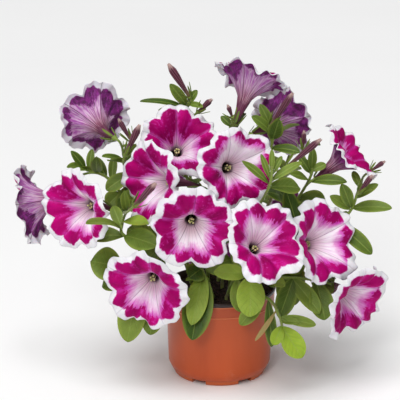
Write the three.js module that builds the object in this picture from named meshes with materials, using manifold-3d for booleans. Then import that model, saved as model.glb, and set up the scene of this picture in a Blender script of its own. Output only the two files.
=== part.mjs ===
// Potted petunia: a nursery pot with soil, leafy stems, open blooms and furled buds.
// Millimetres, Z up, the viewer looks along +Y. The pot stands on z = 0 at the origin.
import * as THREE from 'three';
import Module from 'manifold-3d';
import { mergeVertices } from 'three/addons/utils/BufferGeometryUtils.js';

const wasm = await Module();
wasm.setup();

// ---- driving dimensions (mm) ----
const POT_HEIGHT = 91.8;
const FLOOR_THICK = 1.6;
const FOOT_RADIUS = 46.5;
const DRAIN_HEIGHT = 4.4;
const DRAIN_WIDTH = 15;
const DRAIN_COUNT = 6;
const DRAIN_START = 16;
const DRAIN_FIRST_ANGLE = -57;
const POT_SIDES = 28;
const SOIL_BOTTOM = DRAIN_HEIGHT + FLOOR_THICK + 0.35;
const SOIL_TOP = 84;
const HOLE_FLOOR = 70;
const GAP = 0.35;
const BLADE = 0.75;
const TUBE_DEPTH = 24;
const BLOOM_LENGTH = 56;
const BLOOM_COLUMNS = 20;
const LIMB_ROWS = { 3: [0.58, 0.8, 1], 2: [0.68, 1] };
const STEM_RADIUS = 1.7;
const STALK_RADIUS = 1.15;
const CALYX_RADIUS = 3.1;
const EYE_DISTANCE = 1500;
const EYE_TILT = 17 * Math.PI / 180;
const SKETCH_MIDDLE = [-20, 170];
const AIM = [-20, 0, 181.4];

// ---- colours ----
const TERRACOTTA = '#b5562b';
const SOIL_BROWN = '#2a1d16';
const LEAF_GREEN = '#5c7f2a';
const PETAL_MAGENTA = '#c4117d';
const PETAL_VIOLET = '#8a3c96';
const BUD_MAROON = '#5a2238';

// ---- small vector helpers ----
const add = (a, b) => [a[0] + b[0], a[1] + b[1], a[2] + b[2]];
const sub = (a, b) => [a[0] - b[0], a[1] - b[1], a[2] - b[2]];
const mul = (a, k) => [a[0] * k, a[1] * k, a[2] * k];
const dot = (a, b) => a[0] * b[0] + a[1] * b[1] + a[2] * b[2];
const len = (a) => Math.sqrt(dot(a, a));
const unit = (a) => mul(a, 1 / len(a));
const mix = (a, b, t) => add(mul(a, 1 - t), mul(b, t));
const cross = (a, b) => [
  a[1] * b[2] - a[2] * b[1],
  a[2] * b[0] - a[0] * b[2],
  a[0] * b[1] - a[1] * b[0],
];
const rad = (degrees) => degrees * Math.PI / 180;

// Point of the front-view sketch: right and up in mm from the pot's foot, back = depth along Y.
function at([right, up, back]) {
  const ahead = [0, Math.cos(EYE_TILT), -Math.sin(EYE_TILT)];
  const above = [0, Math.sin(EYE_TILT), Math.cos(EYE_TILT)];
  const eye = sub(AIM, mul(ahead, EYE_DISTANCE));
  const ray = add(
    add(mul(ahead, EYE_DISTANCE), [right - SKETCH_MIDDLE[0], 0, 0]),
    mul(above, up - SKETCH_MIDDLE[1]),
  );
  return add(eye, mul(ray, (back - eye[1]) / ray[1]));
}

// Direction given as a turn to the right of the viewer and a lift above level, in degrees.
function facing(turn, lift) {
  return [
    Math.sin(rad(turn)) * Math.cos(rad(lift)),
    -Math.cos(rad(turn)) * Math.cos(rad(lift)),
    Math.sin(rad(lift)),
  ];
}

// Seeded random numbers, the same list of them every time.
function seeded(seed) {
  let state = seed;
  return () => {
    state = (state * 16807) % 2147483647;
    return state / 2147483647;
  };
}

// ---- solids ----
function solid(points, triangles) {
  const geometry = new THREE.BufferGeometry();
  geometry.setAttribute('position', new THREE.Float32BufferAttribute(points.flat(), 3));
  geometry.setIndex(triangles.flat());
  return closed(geometry);
}

function closed(source) {
  const geometry = source.clone();
  geometry.deleteAttribute('normal');
  geometry.deleteAttribute('uv');
  const merged = mergeVertices(geometry, 1e-4);
  const triVerts = [];
  for (let i = 0; i < merged.index.count; i += 3) {
    const [a, b, c] = [0, 1, 2].map((k) => merged.index.getX(i + k));
    if (a !== b && b !== c && a !== c) {
      triVerts.push(a, b, c);
    }
  }
  const mesh = new wasm.Mesh({
    numProp: 3,
    vertProperties: new Float32Array(merged.attributes.position.array),
    triVerts: new Uint32Array(triVerts),
  });
  return new wasm.Manifold(mesh);
}

function union(parts) {
  return parts.reduce((whole, part) => whole.add(part));
}

// The main body, without slivers that the joining left loose.
function largest(body) {
  return body.decompose().reduce((best, other) => (other.volume() > best.volume() ? other : best));
}

function piece(name, body, color, roughness) {
  const mesh = body.getMesh();
  const geometry = new THREE.BufferGeometry();
  geometry.setAttribute('position', new THREE.Float32BufferAttribute(mesh.vertProperties, 3));
  geometry.setIndex(Array.from(mesh.triVerts));
  geometry.computeVertexNormals();
  const material = new THREE.MeshStandardMaterial({ color, roughness, metalness: 0 });
  const result = new THREE.Mesh(geometry, material);
  result.name = name;
  return result;
}

// Closed tube through points with a radius at each, ends flat.
function tube(points, radii, sides) {
  const vertices = [];
  const triangles = [];
  let aside = [0.31, 0.87, 0.38];
  points.forEach((point, i) => {
    const before = points[Math.max(i - 1, 0)];
    const after = points[Math.min(i + 1, points.length - 1)];
    const along = unit(sub(after, before));
    aside = unit(sub(aside, mul(along, dot(aside, along))));
    const other = cross(along, aside);
    for (let k = 0; k < sides; k += 1) {
      const turn = 2 * Math.PI * k / sides;
      const out = add(mul(aside, Math.cos(turn)), mul(other, Math.sin(turn)));
      vertices.push(add(point, mul(out, radii[i])));
    }
  });
  for (let i = 0; i + 1 < points.length; i += 1) {
    for (let k = 0; k < sides; k += 1) {
      const a = i * sides + k;
      const b = i * sides + (k + 1) % sides;
      triangles.push([a, b, b + sides], [a, b + sides, a + sides]);
    }
  }
  const last = (points.length - 1) * sides;
  for (let k = 1; k + 1 < sides; k += 1) {
    triangles.push([0, k + 1, k], [last, last + k, last + k + 1]);
  }
  return solid(vertices, triangles);
}

// Smooth curve through the listed points; t runs 0..1 from the first point to the last.
function curvePoint(points, t) {
  const spans = points.length - 1;
  const span = Math.min(Math.floor(t * spans), spans - 1);
  const f = t * spans - span;
  const p0 = points[Math.max(span - 1, 0)];
  const p1 = points[span];
  const p2 = points[span + 1];
  const p3 = points[Math.min(span + 2, spans)];
  const c1 = mul(sub(p2, p0), 0.5);
  const c2 = mul(sub(p3, p1), 0.5);
  const h1 = 2 * f ** 3 - 3 * f ** 2 + 1;
  const h2 = f ** 3 - 2 * f ** 2 + f;
  const h3 = -2 * f ** 3 + 3 * f ** 2;
  const h4 = f ** 3 - f ** 2;
  return add(add(mul(p1, h1), mul(c1, h2)), add(mul(p2, h3), mul(c2, h4)));
}

function bezier(p0, p1, p2, p3, t) {
  const s = 1 - t;
  return add(
    add(mul(p0, s ** 3), mul(p1, 3 * s * s * t)),
    add(mul(p2, 3 * s * t * t), mul(p3, t ** 3)),
  );
}

// ---- blooms: name, centre of the limb in the sketch, turn, lift, radius, roll, shoot,
// place on the shoot, rows of facets in the limb, and the foot of the tube where it is bent ----
const BLOOMS = [
  ['far_left', [-146, 160, -52], -35, 4, 40, 10, 1, 0.84, 2, [-108, 160, -12]],
  ['upper_left', [-40, 230, -22], 10, 40, 39, 0, 3, 0.45, 3],
  ['inner_left', [-72, 187, -67], -50, 8, 41, 20, 3, 0.2, 2, [-21, 184, -30]],
  ['upper_middle', [18, 202, -55], 22, 14, 40, 8, 5, 0.3, 3],
  ['front_middle', [-27, 140, -101], 4, -2, 41, -5, 11, 0.62, 3],
  ['front_right', [46, 130, -108], 27, 34, 41, 15, 12, 0.62, 3],
  ['right', [106, 129, -56], 44, 20, 43, 0, 9, 0.62, 2],
  ['lower_left', [-75, 79, -88], -16, -10, 42, -12, 2, 0.5, 3],
  ['rear_left', [-127, 253, 15], -159, 11, 37, 12, 0, 0.9, 2, [-106, 232, -32]],
  ['edge_left', [-192, 165, 5], -98, -16, 40, 0, 4, 0.74, 2, [-144, 189, -6]],
  ['top', [32, 294, 20], 149, 53, 38, 8, 6, 0.72, 2, [15, 246, -12]],
  ['rear_top', [64, 249, 45], 142, 3, 36, 0, 7, 0.5, 2],
  ['edge_right', [133, 220, 2], 78, 42, 34, 12, 8, 0.62, 2, [96, 192, -2]],
  ['low_right', [138, 66, -46], 44, -16, 42, 0, 10, 0.6, 2, [108, 89, -10]],
  ['back_left', [-66, 188, 94], -150, 20, 40, 5, 13, 0.5, 2],
  ['back_right', [78, 150, 88], 146, 14, 39, -8, 14, 0.25, 2],
  ['back_low', [-6, 128, 104], 178, -4, 41, 0, 15, 0.5, 2],
].map(([name, place, turn, lift, radius, roll, shoot, from, rows, foot]) => {
  const seenBehind = Math.abs(turn) > 70 && place[2] < 60;
  return { name, place, turn, lift, radius, roll, shoot, from, rows, foot, seenBehind };
});

// ---- furled buds: name, tip and foot in the sketch, widest radius, shoot, place on the shoot ----
const BUDS = [
  ['crown', [-51, 305, 6], [-31, 274, 10], 3.6, 3, 0.9],
  ['upper_left', [-81, 244, -38], [-94, 216, -36], 3.4, 0, 0.7],
  ['inner_left', [-65, 186, -108], [-85, 165, -92], 3.2, 1, 0.78],
  ['rear_left', [-101, 250, 2], [-90, 231, -2], 2.6, 0, 0.97],
  ['top_right', [72, 276, -4], [51, 245, -2], 3.2, 7, 0.8],
  ['right', [100, 230, -34], [69, 205, -34], 3.2, 5, 0.88],
  ['top_small', [-9, 270, 6], [-21, 259, 6], 2.8, 3, 0.8],
  ['top_tiny', [8, 264, -22], [12, 254, -20], 2.2, 6, 0.9],
  ['edge_small', [164, 208, 26], [152, 200, 24], 2.4, 9, 0.9],
  ['edge_dark', [152, 194, -27], [140, 179, -22], 2.8, 9, 0.86],
  ['withered', [84, 238, 4], [83, 223, 4], 2.4, 8, 0.78],
].map(([name, tip, foot, radius, shoot, from]) => ({ name, tip, foot, radius, shoot, from }));

// ---- shoots: soil hole [angle, distance], then the path in the sketch ----
const SHOOTS = [
  ['upper_left', [188, 27], [
    [-40, 120, -12], [-70, 165, -18], [-92, 200, -20], [-98, 224, -22],
  ]],
  ['left', [206, 20], [
    [-34, 108, -18], [-62, 124, -26], [-84, 129, -48],
    [-98, 137, -56], [-97, 150, -48], [-90, 166, -52],
  ]],
  ['low_left', [222, 29], [[-40, 84, -30], [-62, 84, -36], [-88, 96, -42], [-112, 112, -44]]],
  ['top_left', [150, 12], [
    [-16, 118, 0], [-27, 160, 10], [-30, 198, 24],
    [-33, 235, 26], [-35, 256, 20], [-31, 268, 10],
  ]],
  ['far_left', [176, 18], [
    [-34, 120, 6], [-66, 150, 8], [-94, 172, 4],
    [-110, 190, 0], [-122, 197, -2], [-134, 200, -4],
  ]],
  ['middle', [312, 14], [
    [12, 110, -16], [14, 140, -22], [38, 164, -56],
    [50, 186, -78], [52, 204, -80],
  ]],
  ['top', [70, 8], [[3, 120, 6], [5, 165, 8], [8, 205, 0], [12, 230, -8], [12, 248, -16]]],
  ['top_right', [36, 16], [[18, 120, 6], [32, 160, 8], [44, 196, 4], [52, 226, 2], [54, 244, 2]]],
  ['right', [8, 18], [[34, 116, 2], [62, 150, 4], [82, 178, 0], [92, 198, -4], [90, 212, -2]]],
  ['far_right', [352, 27], [
    [44, 104, -8], [80, 122, -12], [112, 140, -10],
    [131, 160, -8], [137, 176, -8], [142, 187, -4],
  ]],
  ['low_right', [334, 28], [[46, 90, -22], [72, 92, -34], [94, 90, -40], [112, 86, -44]]],
  ['front_left', [252, 22], [[-16, 96, -36], [-24, 112, -52], [-27, 128, -60]]],
  ['front_right', [286, 24], [[16, 92, -38], [32, 96, -56], [48, 92, -66], [58, 84, -70]]],
  ['back_left', [128, 27], [[-20, 126, 34], [-28, 160, 42], [-33, 192, 44], [-36, 216, 48]]],
  ['back_right', [52, 28], [[30, 130, 36], [48, 165, 46], [62, 196, 52], [72, 222, 52]]],
  ['back_low', [92, 29], [[-2, 118, 52], [-6, 134, 68], [-10, 156, 80]]],
  ['trailing', [308, 31], [[40, 74, -56], [52, 68, -66], [60, 52, -70], [62, 44, -70]]],
].map(([name, hole, path]) => ({ name, hole, path }));

// ---- leaves seen in the front view: shoot, foot and tip in the sketch, width, roll of the blade ----
const LEAVES = [
  // upper left tuft
  [4, [-135, 205, -6], [-149, 219, -10], 9, 40],
  [4, [-131, 202, 0], [-128, 221, 4], 8, 20],
  [4, [-130, 199, -8], [-153, 203, -18], 12, 60],
  [4, [-122, 196, -8], [-124, 213, -22], 12, 30],
  [4, [-112, 194, 2], [-125, 213, 8], 10, 40],
  [4, [-108, 190, 6], [-106, 214, 14], 9, 30],
  [0, [-98, 206, -28], [-118, 214, -34], 9, 60],
  [0, [-98, 206, -28], [-84, 226, -14], 8, 40],
  // left tuft
  [1, [-98, 141, -60], [-134, 147, -108], 13, 50],
  [1, [-98, 134, -52], [-132, 133, -50], 17, 50],
  [1, [-95, 148, -54], [-72, 146, -84], 13, 50],
  [1, [-94, 136, -60], [-62, 124, -80], 23, 35],
  [1, [-98, 140, -50], [-107, 164, -32], 12, 35],
  [1, [-94, 156, -54], [-96, 179, -72], 9, 20],
  [2, [-98, 103, -44], [-129, 109, -54], 33, 25],
  [2, [-112, 112, -44], [-121, 95, -54], 24, 20],
  // crown tufts
  [3, [-46, 262, 10], [-80, 269, 8], 9, 60],
  [3, [-46, 264, 10], [-50, 286, 4], 11, 20],
  [3, [-34, 264, 10], [-23, 280, 12], 8, 40],
  [3, [-33, 262, 6], [-17, 263, 0], 7, 40],
  [3, [-36, 260, 14], [-62, 260, 26], 8, 60],
  [6, [11, 244, -12], [1, 254, -8], 8, 40],
  // top right tuft
  [7, [53, 230, 0], [59, 250, -10], 15, 20],
  [7, [52, 222, 2], [80, 218, -8], 12, 50],
  [7, [50, 236, 2], [32, 254, -4], 11, 40],
  [7, [53, 238, 2], [40, 266, 6], 10, 30],
  // middle tuft, in front of the upper bloom
  [5, [49, 190, -72], [22, 209, -84], 8, 40],
  [5, [53, 192, -72], [82, 208, -66], 9, 50],
  [5, [50, 196, -72], [41, 216, -78], 6, 20],
  [5, [52, 199, -72], [52, 221, -76], 5.5, 20],
  [5, [53, 197, -72], [62, 214, -70], 6, 30],
  [5, [52, 190, -66], [80, 182, -54], 17, 40],
  [5, [50, 182, -66], [60, 174, -46], 18, 30],
  [9, [72, 143, -26], [66, 180, -30], 22, 20],
  [8, [68, 164, -4], [54, 182, -22], 16, 30],
  // right tufts
  [8, [92, 186, -6], [127, 188, -18], 13, 50],
  [8, [91, 196, -4], [79, 214, -10], 9, 30],
  [8, [92, 198, -4], [106, 206, 0], 9, 40],
  [8, [90, 200, -4], [93, 222, -12], 9, 20],
  [8, [88, 190, -4], [70, 196, -16], 10, 50],
  [9, [131, 162, -10], [122, 186, -16], 13, 20],
  [9, [130, 160, -8], [110, 174, -12], 11, 30],
  [9, [134, 161, -8], [172, 162, -20], 14, 45],
  [9, [136, 172, -4], [158, 186, -12], 9, 40],
  [9, [139, 182, -4], [133, 199, 4], 8, 30],
  [9, [118, 146, -6], [152, 116, -26], 17, 30],
  // below the blooms, over the rim of the pot
  [11, [-18, 79, -58], [-28, 45, -80], 21, 20],
  [11, [-30, 76, -56], [-28, 30, -78], 30, 10],
  [11, [6, 79, -50], [-34, 90, -58], 8, 70],
  [11, [-2, 104, -44], [-31, 92, -52], 22, 35],
  [11, [2, 98, -42], [-20, 86, -48], 14, 30],
  [12, [25, 86, -58], [-6, 98, -66], 17, 35],
  [12, [30, 87, -60], [30, 53, -80], 28, 15],
  [12, [42, 79, -66], [65, 84, -80], 12, 50],
  [12, [8, 88, -48], [20, 58, -60], 18, 20],
  [16, [42, 68, -62], [20, 45, -68], 16, 20],
  [16, [46, 66, -64], [52, 23, -62], 12, 20],
  [16, [39, 50, -70], [35, 29, -70], 5, 10],
  [16, [62, 44, -70], [82, 12, -80], 22, 20],
  [16, [60, 44, -70], [53, 25, -78], 13, 20],
  [16, [62, 50, -68], [79, 48, -76], 8, 40],
  [16, [68, 56, -68], [96, 45, -72], 11, 30],
  // lower right, beside the pot
  [10, [71, 84, -44], [59, 52, -64], 20, 20],
  [10, [70, 98, -40], [100, 57, -62], 18, 30],
  [10, [96, 86, -38], [105, 50, -60], 24, 25],
  [10, [90, 92, -36], [114, 80, -34], 22, 30],
  // lower left, beside the pot
  [2, [-86, 80, -44], [-93, 28, -58], 28, 20],
  [2, [-62, 84, -34], [-70, 35, -54], 24, 20],
  [2, [-84, 94, -40], [-118, 84, -32], 20, 40],
  // deeper among the stems
  [1, [-66, 125, -30], [-92, 142, -22], 24, 30],
  [1, [-60, 122, -26], [-80, 104, -20], 24, 30],
  [0, [-70, 165, -18], [-100, 172, -32], 24, 30],
  [0, [-92, 196, -20], [-114, 180, -28], 16, 30],
  [4, [-100, 178, 4], [-113, 164, -4], 18, 30],
  [0, [-84, 186, -20], [-100, 158, -20], 20, 30],
  [0, [-46, 130, -14], [-76, 112, -6], 26, 30],
  [4, [-50, 134, 6], [-84, 126, 12], 27, 30],
  [10, [58, 91, -28], [77, 66, -32], 26, 30],
  [9, [56, 110, -10], [82, 82, -16], 26, 30],
  [10, [94, 90, -40], [114, 97, -24], 20, 30],
  [8, [66, 156, 4], [92, 148, 8], 24, 30],
  [8, [78, 172, 2], [106, 168, 10], 20, 30],
  [9, [94, 130, -12], [82, 160, -14], 24, 20],
  [5, [12, 112, -16], [-14, 100, -30], 26, 30],
  [5, [14, 120, -18], [38, 100, -34], 26, 30],
  [9, [46, 106, -10], [62, 85, -12], 24, 30],
  [9, [62, 114, -12], [84, 100, -18], 24, 30],
];

// ---- leaves placed by a rule: shoot, how many, shortest, longest, seed, heading in degrees ----
const FILLERS = [
  [13, 5, 26, 38, 3, 120], [14, 5, 26, 38, 7, 60], [15, 6, 26, 38, 48, 90], [6, 3, 24, 34, 1, 90],
  [3, 2, 22, 30, 2, 110], [7, 3, 22, 32, 2, 70], [8, 2, 22, 32, 1, 45], [4, 2, 22, 32, 1, 120],
  [0, 2, 22, 30, 1, 150],
];

// ---- bloom surface ----
function bloomFrame(bloom) {
  const out = facing(bloom.turn, bloom.lift);
  const upward = unit(sub([0, 0, 1], mul(out, out[2])));
  const sideways = cross(out, upward);
  const roll = rad(bloom.roll);
  const first = add(mul(upward, Math.cos(roll)), mul(sideways, Math.sin(roll)));
  const centre = at(bloom.place);
  const straightFoot = sub(centre, mul(out, BLOOM_LENGTH));
  const bend = bloom.foot ? sub(at(bloom.foot), straightFoot) : [0, 0, 0];
  return { out, first, second: cross(out, first), centre, bend };
}

// Centre line of the corolla; depth 0 is the mouth, BLOOM_LENGTH the foot of the tube.
function bloomAxis(frame, depth) {
  const beyond = Math.max(depth - TUBE_DEPTH, 0) / (BLOOM_LENGTH - TUBE_DEPTH);
  return add(sub(frame.centre, mul(frame.out, depth)), mul(frame.bend, beyond ** 2));
}

// Reach of the limb: five lobes with a notch between them, none quite like the next.
function limbRadius(bloom, angle, s) {
  const seed = bloom.radius + bloom.turn + 3 * bloom.roll;
  const notch = Math.abs(Math.sin(2.5 * angle)) ** 6;
  const lobes = 0.015 * Math.cos(5 * angle) + 0.03 * Math.sin(2 * angle + 1.3 * seed)
    + 0.03 * Math.sin(4 * angle + seed);
  return 7.5 + (bloom.radius - 7.5) * s * (1 + s * s * (lobes - 0.13 * notch));
}

function limbWave(bloom, angle, s) {
  const seed = bloom.radius + bloom.turn + 3 * bloom.roll;
  const ruffle = 0.045 * Math.cos(5 * angle + 0.6) + 0.055 * Math.sin(2 * angle + seed)
    + 0.055 * Math.sin(3 * angle + 1.7 * seed) + 0.04 * Math.sin(7 * angle + 2.3 * seed);
  return bloom.radius * ruffle * s * s;
}

// angle 0..2 pi round the bloom, v 0 at the foot of the tube, 0.4 at the throat, 1 at the edge.
function bloomPoint(bloom, frame, angle, v) {
  let radius;
  let depth;
  if (v < 0.4) {
    const s = v / 0.4;
    radius = 2 + 5.5 * s ** 1.4;
    depth = BLOOM_LENGTH - (BLOOM_LENGTH - TUBE_DEPTH) * s;
  } else {
    const s = (v - 0.4) / 0.6;
    radius = limbRadius(bloom, angle, s);
    depth = TUBE_DEPTH * (1 - s) ** 2.1 + 3 * s ** 5 - limbWave(bloom, angle, s);
  }
  const out = add(mul(frame.first, Math.cos(angle)), mul(frame.second, Math.sin(angle)));
  return add(bloomAxis(frame, depth), mul(out, radius));
}

function bloomInner(bloom, frame, angle, v) {
  const step = 0.004;
  const here = bloomPoint(bloom, frame, angle, v);
  const round = sub(bloomPoint(bloom, frame, angle + step, v), bloomPoint(bloom, frame, angle - step, v));
  const low = bloomPoint(bloom, frame, angle, v - step);
  const high = v + step > 1 ? here : bloomPoint(bloom, frame, angle, v + step);
  const inward = unit(cross(round, sub(high, low)));
  return add(here, mul(inward, -BLADE));
}

// Ring of points stitched to the ring before it; a ring may have half as many points.
function stitch(triangles, low, lowCount, high, highCount) {
  if (lowCount === highCount) {
    for (let k = 0; k < lowCount; k += 1) {
      const next = (k + 1) % lowCount;
      triangles.push([low + k, low + next, high + next], [low + k, high + next, high + k]);
    }
    return;
  }
  for (let k = 0; k < lowCount; k += 1) {
    const next = (k + 1) % lowCount;
    const mid = high + 2 * k + 1;
    triangles.push([low + k, low + next, mid]);
    triangles.push([low + k, mid, high + 2 * k]);
    triangles.push([low + next, high + (2 * next) % highCount, mid]);
  }
}

function bloomSolid(bloom) {
  const frame = bloomFrame(bloom);
  const half = BLOOM_COLUMNS / 2;
  const few = half / 2;
  const limb = LIMB_ROWS[bloom.rows].map((v) => [v, BLOOM_COLUMNS]);
  const outer = [[0.03, few], [0.22, few], [0.4, half], ...limb];
  const inner = [[0.4, half], ...limb];
  const points = [];
  const ring = (rows, place) => rows.map(([v, count]) => {
    const start = points.length;
    for (let k = 0; k < count; k += 1) {
      points.push(place(bloom, frame, 2 * Math.PI * k / count, v));
    }
    return [start, count];
  });
  const outside = ring(outer, bloomPoint);
  const inside = ring(inner, bloomInner);
  const foot = points.push(bloomAxis(frame, BLOOM_LENGTH)) - 1;
  const well = points.push(bloomAxis(frame, BLOOM_LENGTH - 10)) - 1;
  const skin = [];
  const lining = [];
  outside.slice(1).forEach((row, i) => stitch(skin, ...outside[i], ...row));
  inside.slice(1).forEach((row, i) => stitch(lining, ...inside[i], ...row));
  const rim = [];
  stitch(rim, ...outside.at(-1), ...inside.at(-1));
  const caps = [];
  for (let k = 0; k < few; k += 1) {
    caps.push([foot, outside[0][0] + (k + 1) % few, outside[0][0] + k]);
  }
  for (let k = 0; k < half; k += 1) {
    caps.push([well, inside[0][0] + k, inside[0][0] + (k + 1) % half]);
  }
  const triangles = [...skin, ...rim, ...lining.map(([a, b, c]) => [a, c, b]), ...caps];
  return solid(points, triangles);
}

// ---- furled bud ----
function budFrame(bud) {
  const foot = at(bud.foot);
  const tip = at(bud.tip);
  const out = unit(sub(tip, foot));
  const first = unit(cross(out, [0.3, 0.8, 0.52]));
  return { foot, out, first, second: cross(out, first), length: len(sub(tip, foot)) };
}

function budPoint(bud, frame, angle, v) {
  const swell = 0.52 + 0.48 * Math.sin(Math.PI * Math.min(v / 0.8, 1) * 0.5) ** 2;
  const close = v > 0.8 ? 1 - 0.62 * ((v - 0.8) / 0.2) ** 1.5 : 1;
  const pleat = 1 + 0.08 * v * Math.cos(3 * angle + 3 * v);
  const radius = bud.radius * swell * close * pleat;
  const out = add(mul(frame.first, Math.cos(angle)), mul(frame.second, Math.sin(angle)));
  return add(add(frame.foot, mul(frame.out, frame.length * v)), mul(out, radius));
}

function budSolid(bud) {
  const frame = budFrame(bud);
  const columns = 6;
  const rows = [0, 0.3, 0.75, 1];
  const points = [];
  rows.forEach((v) => {
    for (let k = 0; k < columns; k += 1) {
      points.push(budPoint(bud, frame, 2 * Math.PI * k / columns, v));
    }
  });
  const triangles = [];
  for (let i = 0; i + 1 < rows.length; i += 1) {
    stitch(triangles, i * columns, columns, (i + 1) * columns, columns);
  }
  const foot = points.push(frame.foot) - 1;
  const tip = points.push(add(frame.foot, mul(frame.out, frame.length + 1))) - 1;
  const last = (rows.length - 1) * columns;
  for (let k = 0; k < columns; k += 1) {
    const next = (k + 1) % columns;
    triangles.push([foot, next, k], [tip, last + k, last + next]);
  }
  return solid(points, triangles);
}

// ---- leafy stems ----
function shootPoints(shoot) {
  const [angle, distance] = shoot.hole;
  const x = distance * Math.cos(rad(angle));
  const y = distance * Math.sin(rad(angle));
  const buried = [x, y, HOLE_FLOOR + GAP];
  const surface = [x, y, SOIL_TOP + 3];
  return { buried, line: [surface, ...shoot.path.map(at)] };
}

function shootRadius(t) {
  return STEM_RADIUS * (1 - 0.3 * t);
}

// The stem's centre line as a list of points, from the soil surface to the growing tip.
function stemLine(shoot) {
  const { line } = shootPoints(shoot);
  const count = Math.max(5, Math.round(line.length * 1.15));
  return Array.from({ length: count + 1 }, (_, i) => curvePoint(line, i / count));
}

function alongLine(points, t) {
  const place = Math.min(Math.max(t, 0), 1) * (points.length - 1);
  const i = Math.min(Math.floor(place), points.length - 2);
  return mix(points[i], points[i + 1], place - i);
}

function stemTube(shoot) {
  const line = stemLine(shoot);
  const radii = line.map((_, i) => shootRadius(i / (line.length - 1)));
  return tube([shootPoints(shoot).buried, ...line], [STEM_RADIUS, ...radii], 5);
}

// Flower stalk from the shoot to the neck of the calyx.
function stalkPoints(start, heading, foot, out) {
  const reach = len(sub(foot, start));
  const neck = sub(foot, mul(out, 3.4));
  const lead = add(start, mul(heading, reach / 3));
  const arrive = sub(neck, mul(out, reach / 3));
  const count = Math.max(2, Math.min(3, Math.round(reach / 15)));
  const points = [];
  for (let i = 0; i <= count; i += 1) {
    points.push(bezier(start, lead, arrive, neck, i / count));
  }
  return points;
}

// Stalk, cup and five sepals as one closed skin; the cup stops a gap below the flower.
function stalkAndCalyx(start, heading, frame, axisAt, length, straight) {
  const points = stalkPoints(start, heading, axisAt(0), unit(sub(axisAt(1), axisAt(0))));
  const vertices = [];
  const triangles = [];
  const direction = (angle) => add(
    mul(frame.first, Math.cos(angle)),
    mul(frame.second, Math.sin(angle)),
  );
  points.forEach((point, i) => {
    const along = unit(sub(points[Math.min(i + 1, points.length - 1)], points[Math.max(i - 1, 0)]));
    const normal = unit(add(along, mul(frame.out, 1.05)));
    for (let k = 0; k < 5; k += 1) {
      const free = direction(2 * Math.PI * k / 5);
      const out = unit(sub(free, mul(normal, dot(free, normal))));
      vertices.push(add(point, mul(out, STALK_RADIUS)));
    }
    if (i > 0) {
      stitch(triangles, 5 * i - 5, 5, 5 * i, 5);
    }
  });
  for (let k = 1; k + 1 < 5; k += 1) {
    triangles.push([0, k + 1, k]);
  }
  const put = (distance, radius, angle, across) => {
    const side = direction(angle + Math.PI / 2);
    return vertices.push(add(axisAt(distance), add(mul(direction(angle), radius), mul(side, across)))) - 1;
  };
  const neck = vertices.length;
  for (let k = 0; k < 10; k += 1) {
    put(-2.2, 2.1, Math.PI * k / 5, 0);
  }
  stitch(triangles, neck - 5, 5, neck, 10);
  const seat = vertices.length;
  for (let k = 0; k < 10; k += 1) {
    put(-GAP, CALYX_RADIUS, Math.PI * k / 5, 0);
  }
  for (let k = 0; k < 10; k += 1) {
    const next = (k + 1) % 10;
    if (k % 2) {
      triangles.push([neck + k, neck + next, seat + next], [neck + k, seat + next, seat + k]);
    } else {
      const middle = Math.PI * (k + 0.5) / 5;
      const tip = put(length, 7.6 + BLADE, middle, 0);
      const under = put(length, 7.6, middle, 0);
      if (straight) {
        triangles.push([neck + k, neck + next, tip], [seat + next, seat + k, under]);
        triangles.push([neck + next, seat + next, under], [neck + next, under, tip]);
        triangles.push([seat + k, neck + k, tip], [seat + k, tip, under]);
        continue;
      }
      const a = put(length * 0.5, 5.2 + BLADE, middle, -1.3);
      const b = put(length * 0.5, 5.2 + BLADE, middle, 1.3);
      const c = put(length * 0.5, 5.2, middle, 1.3);
      const d = put(length * 0.5, 5.2, middle, -1.3);
      triangles.push([neck + k, neck + next, b], [neck + k, b, a], [a, b, tip]);
      triangles.push([seat + next, seat + k, d], [seat + next, d, c], [c, d, under]);
      triangles.push([neck + next, seat + next, c], [neck + next, c, b], [b, c, under], [b, under, tip]);
      triangles.push([seat + k, neck + k, a], [seat + k, a, d], [d, a, tip], [d, tip, under]);
    }
  }
  for (let k = 1; k + 1 < 10; k += 1) {
    triangles.push([seat, seat + k, seat + k + 1]);
  }
  return solid(vertices, triangles);
}

function headingOf(line, t) {
  return unit(sub(alongLine(line, t + 0.02), alongLine(line, t - 0.02)));
}

// ---- leaf blade; face is the angle of its normal above level, seen from the front ----
function leafFrame(leaf) {
  const along = sub(leaf.tip, leaf.foot);
  const length = len(along);
  const forward = unit(along);
  const looking = [0, -Math.cos(rad(leaf.face)), Math.sin(rad(leaf.face))];
  const side = unit(cross(forward, looking));
  return { forward, side, normal: cross(side, forward), length };
}

function leafHalfWidth(p) {
  return 0.5 * 2.65 * p ** 0.8 * (1 - p) ** 0.62;
}

// p 0..1 from foot to tip, q -1..1 across the blade.
function leafPoint(leaf, frame, p, q) {
  const half = Math.max(leaf.width * leafHalfWidth(p), p < 0.3 ? 0.9 : 0);
  const arch = frame.length * leaf.arch * 4 * p * (1 - p);
  const fold = 0.22 * half * Math.abs(q);
  const wave = 0.035 * leaf.width * q * Math.sin(7 * p + leaf.face + leaf.width);
  const middle = add(leaf.foot, mul(frame.forward, frame.length * p));
  return add(add(middle, mul(frame.side, half * q)), mul(frame.normal, arch + fold + wave));
}

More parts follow.
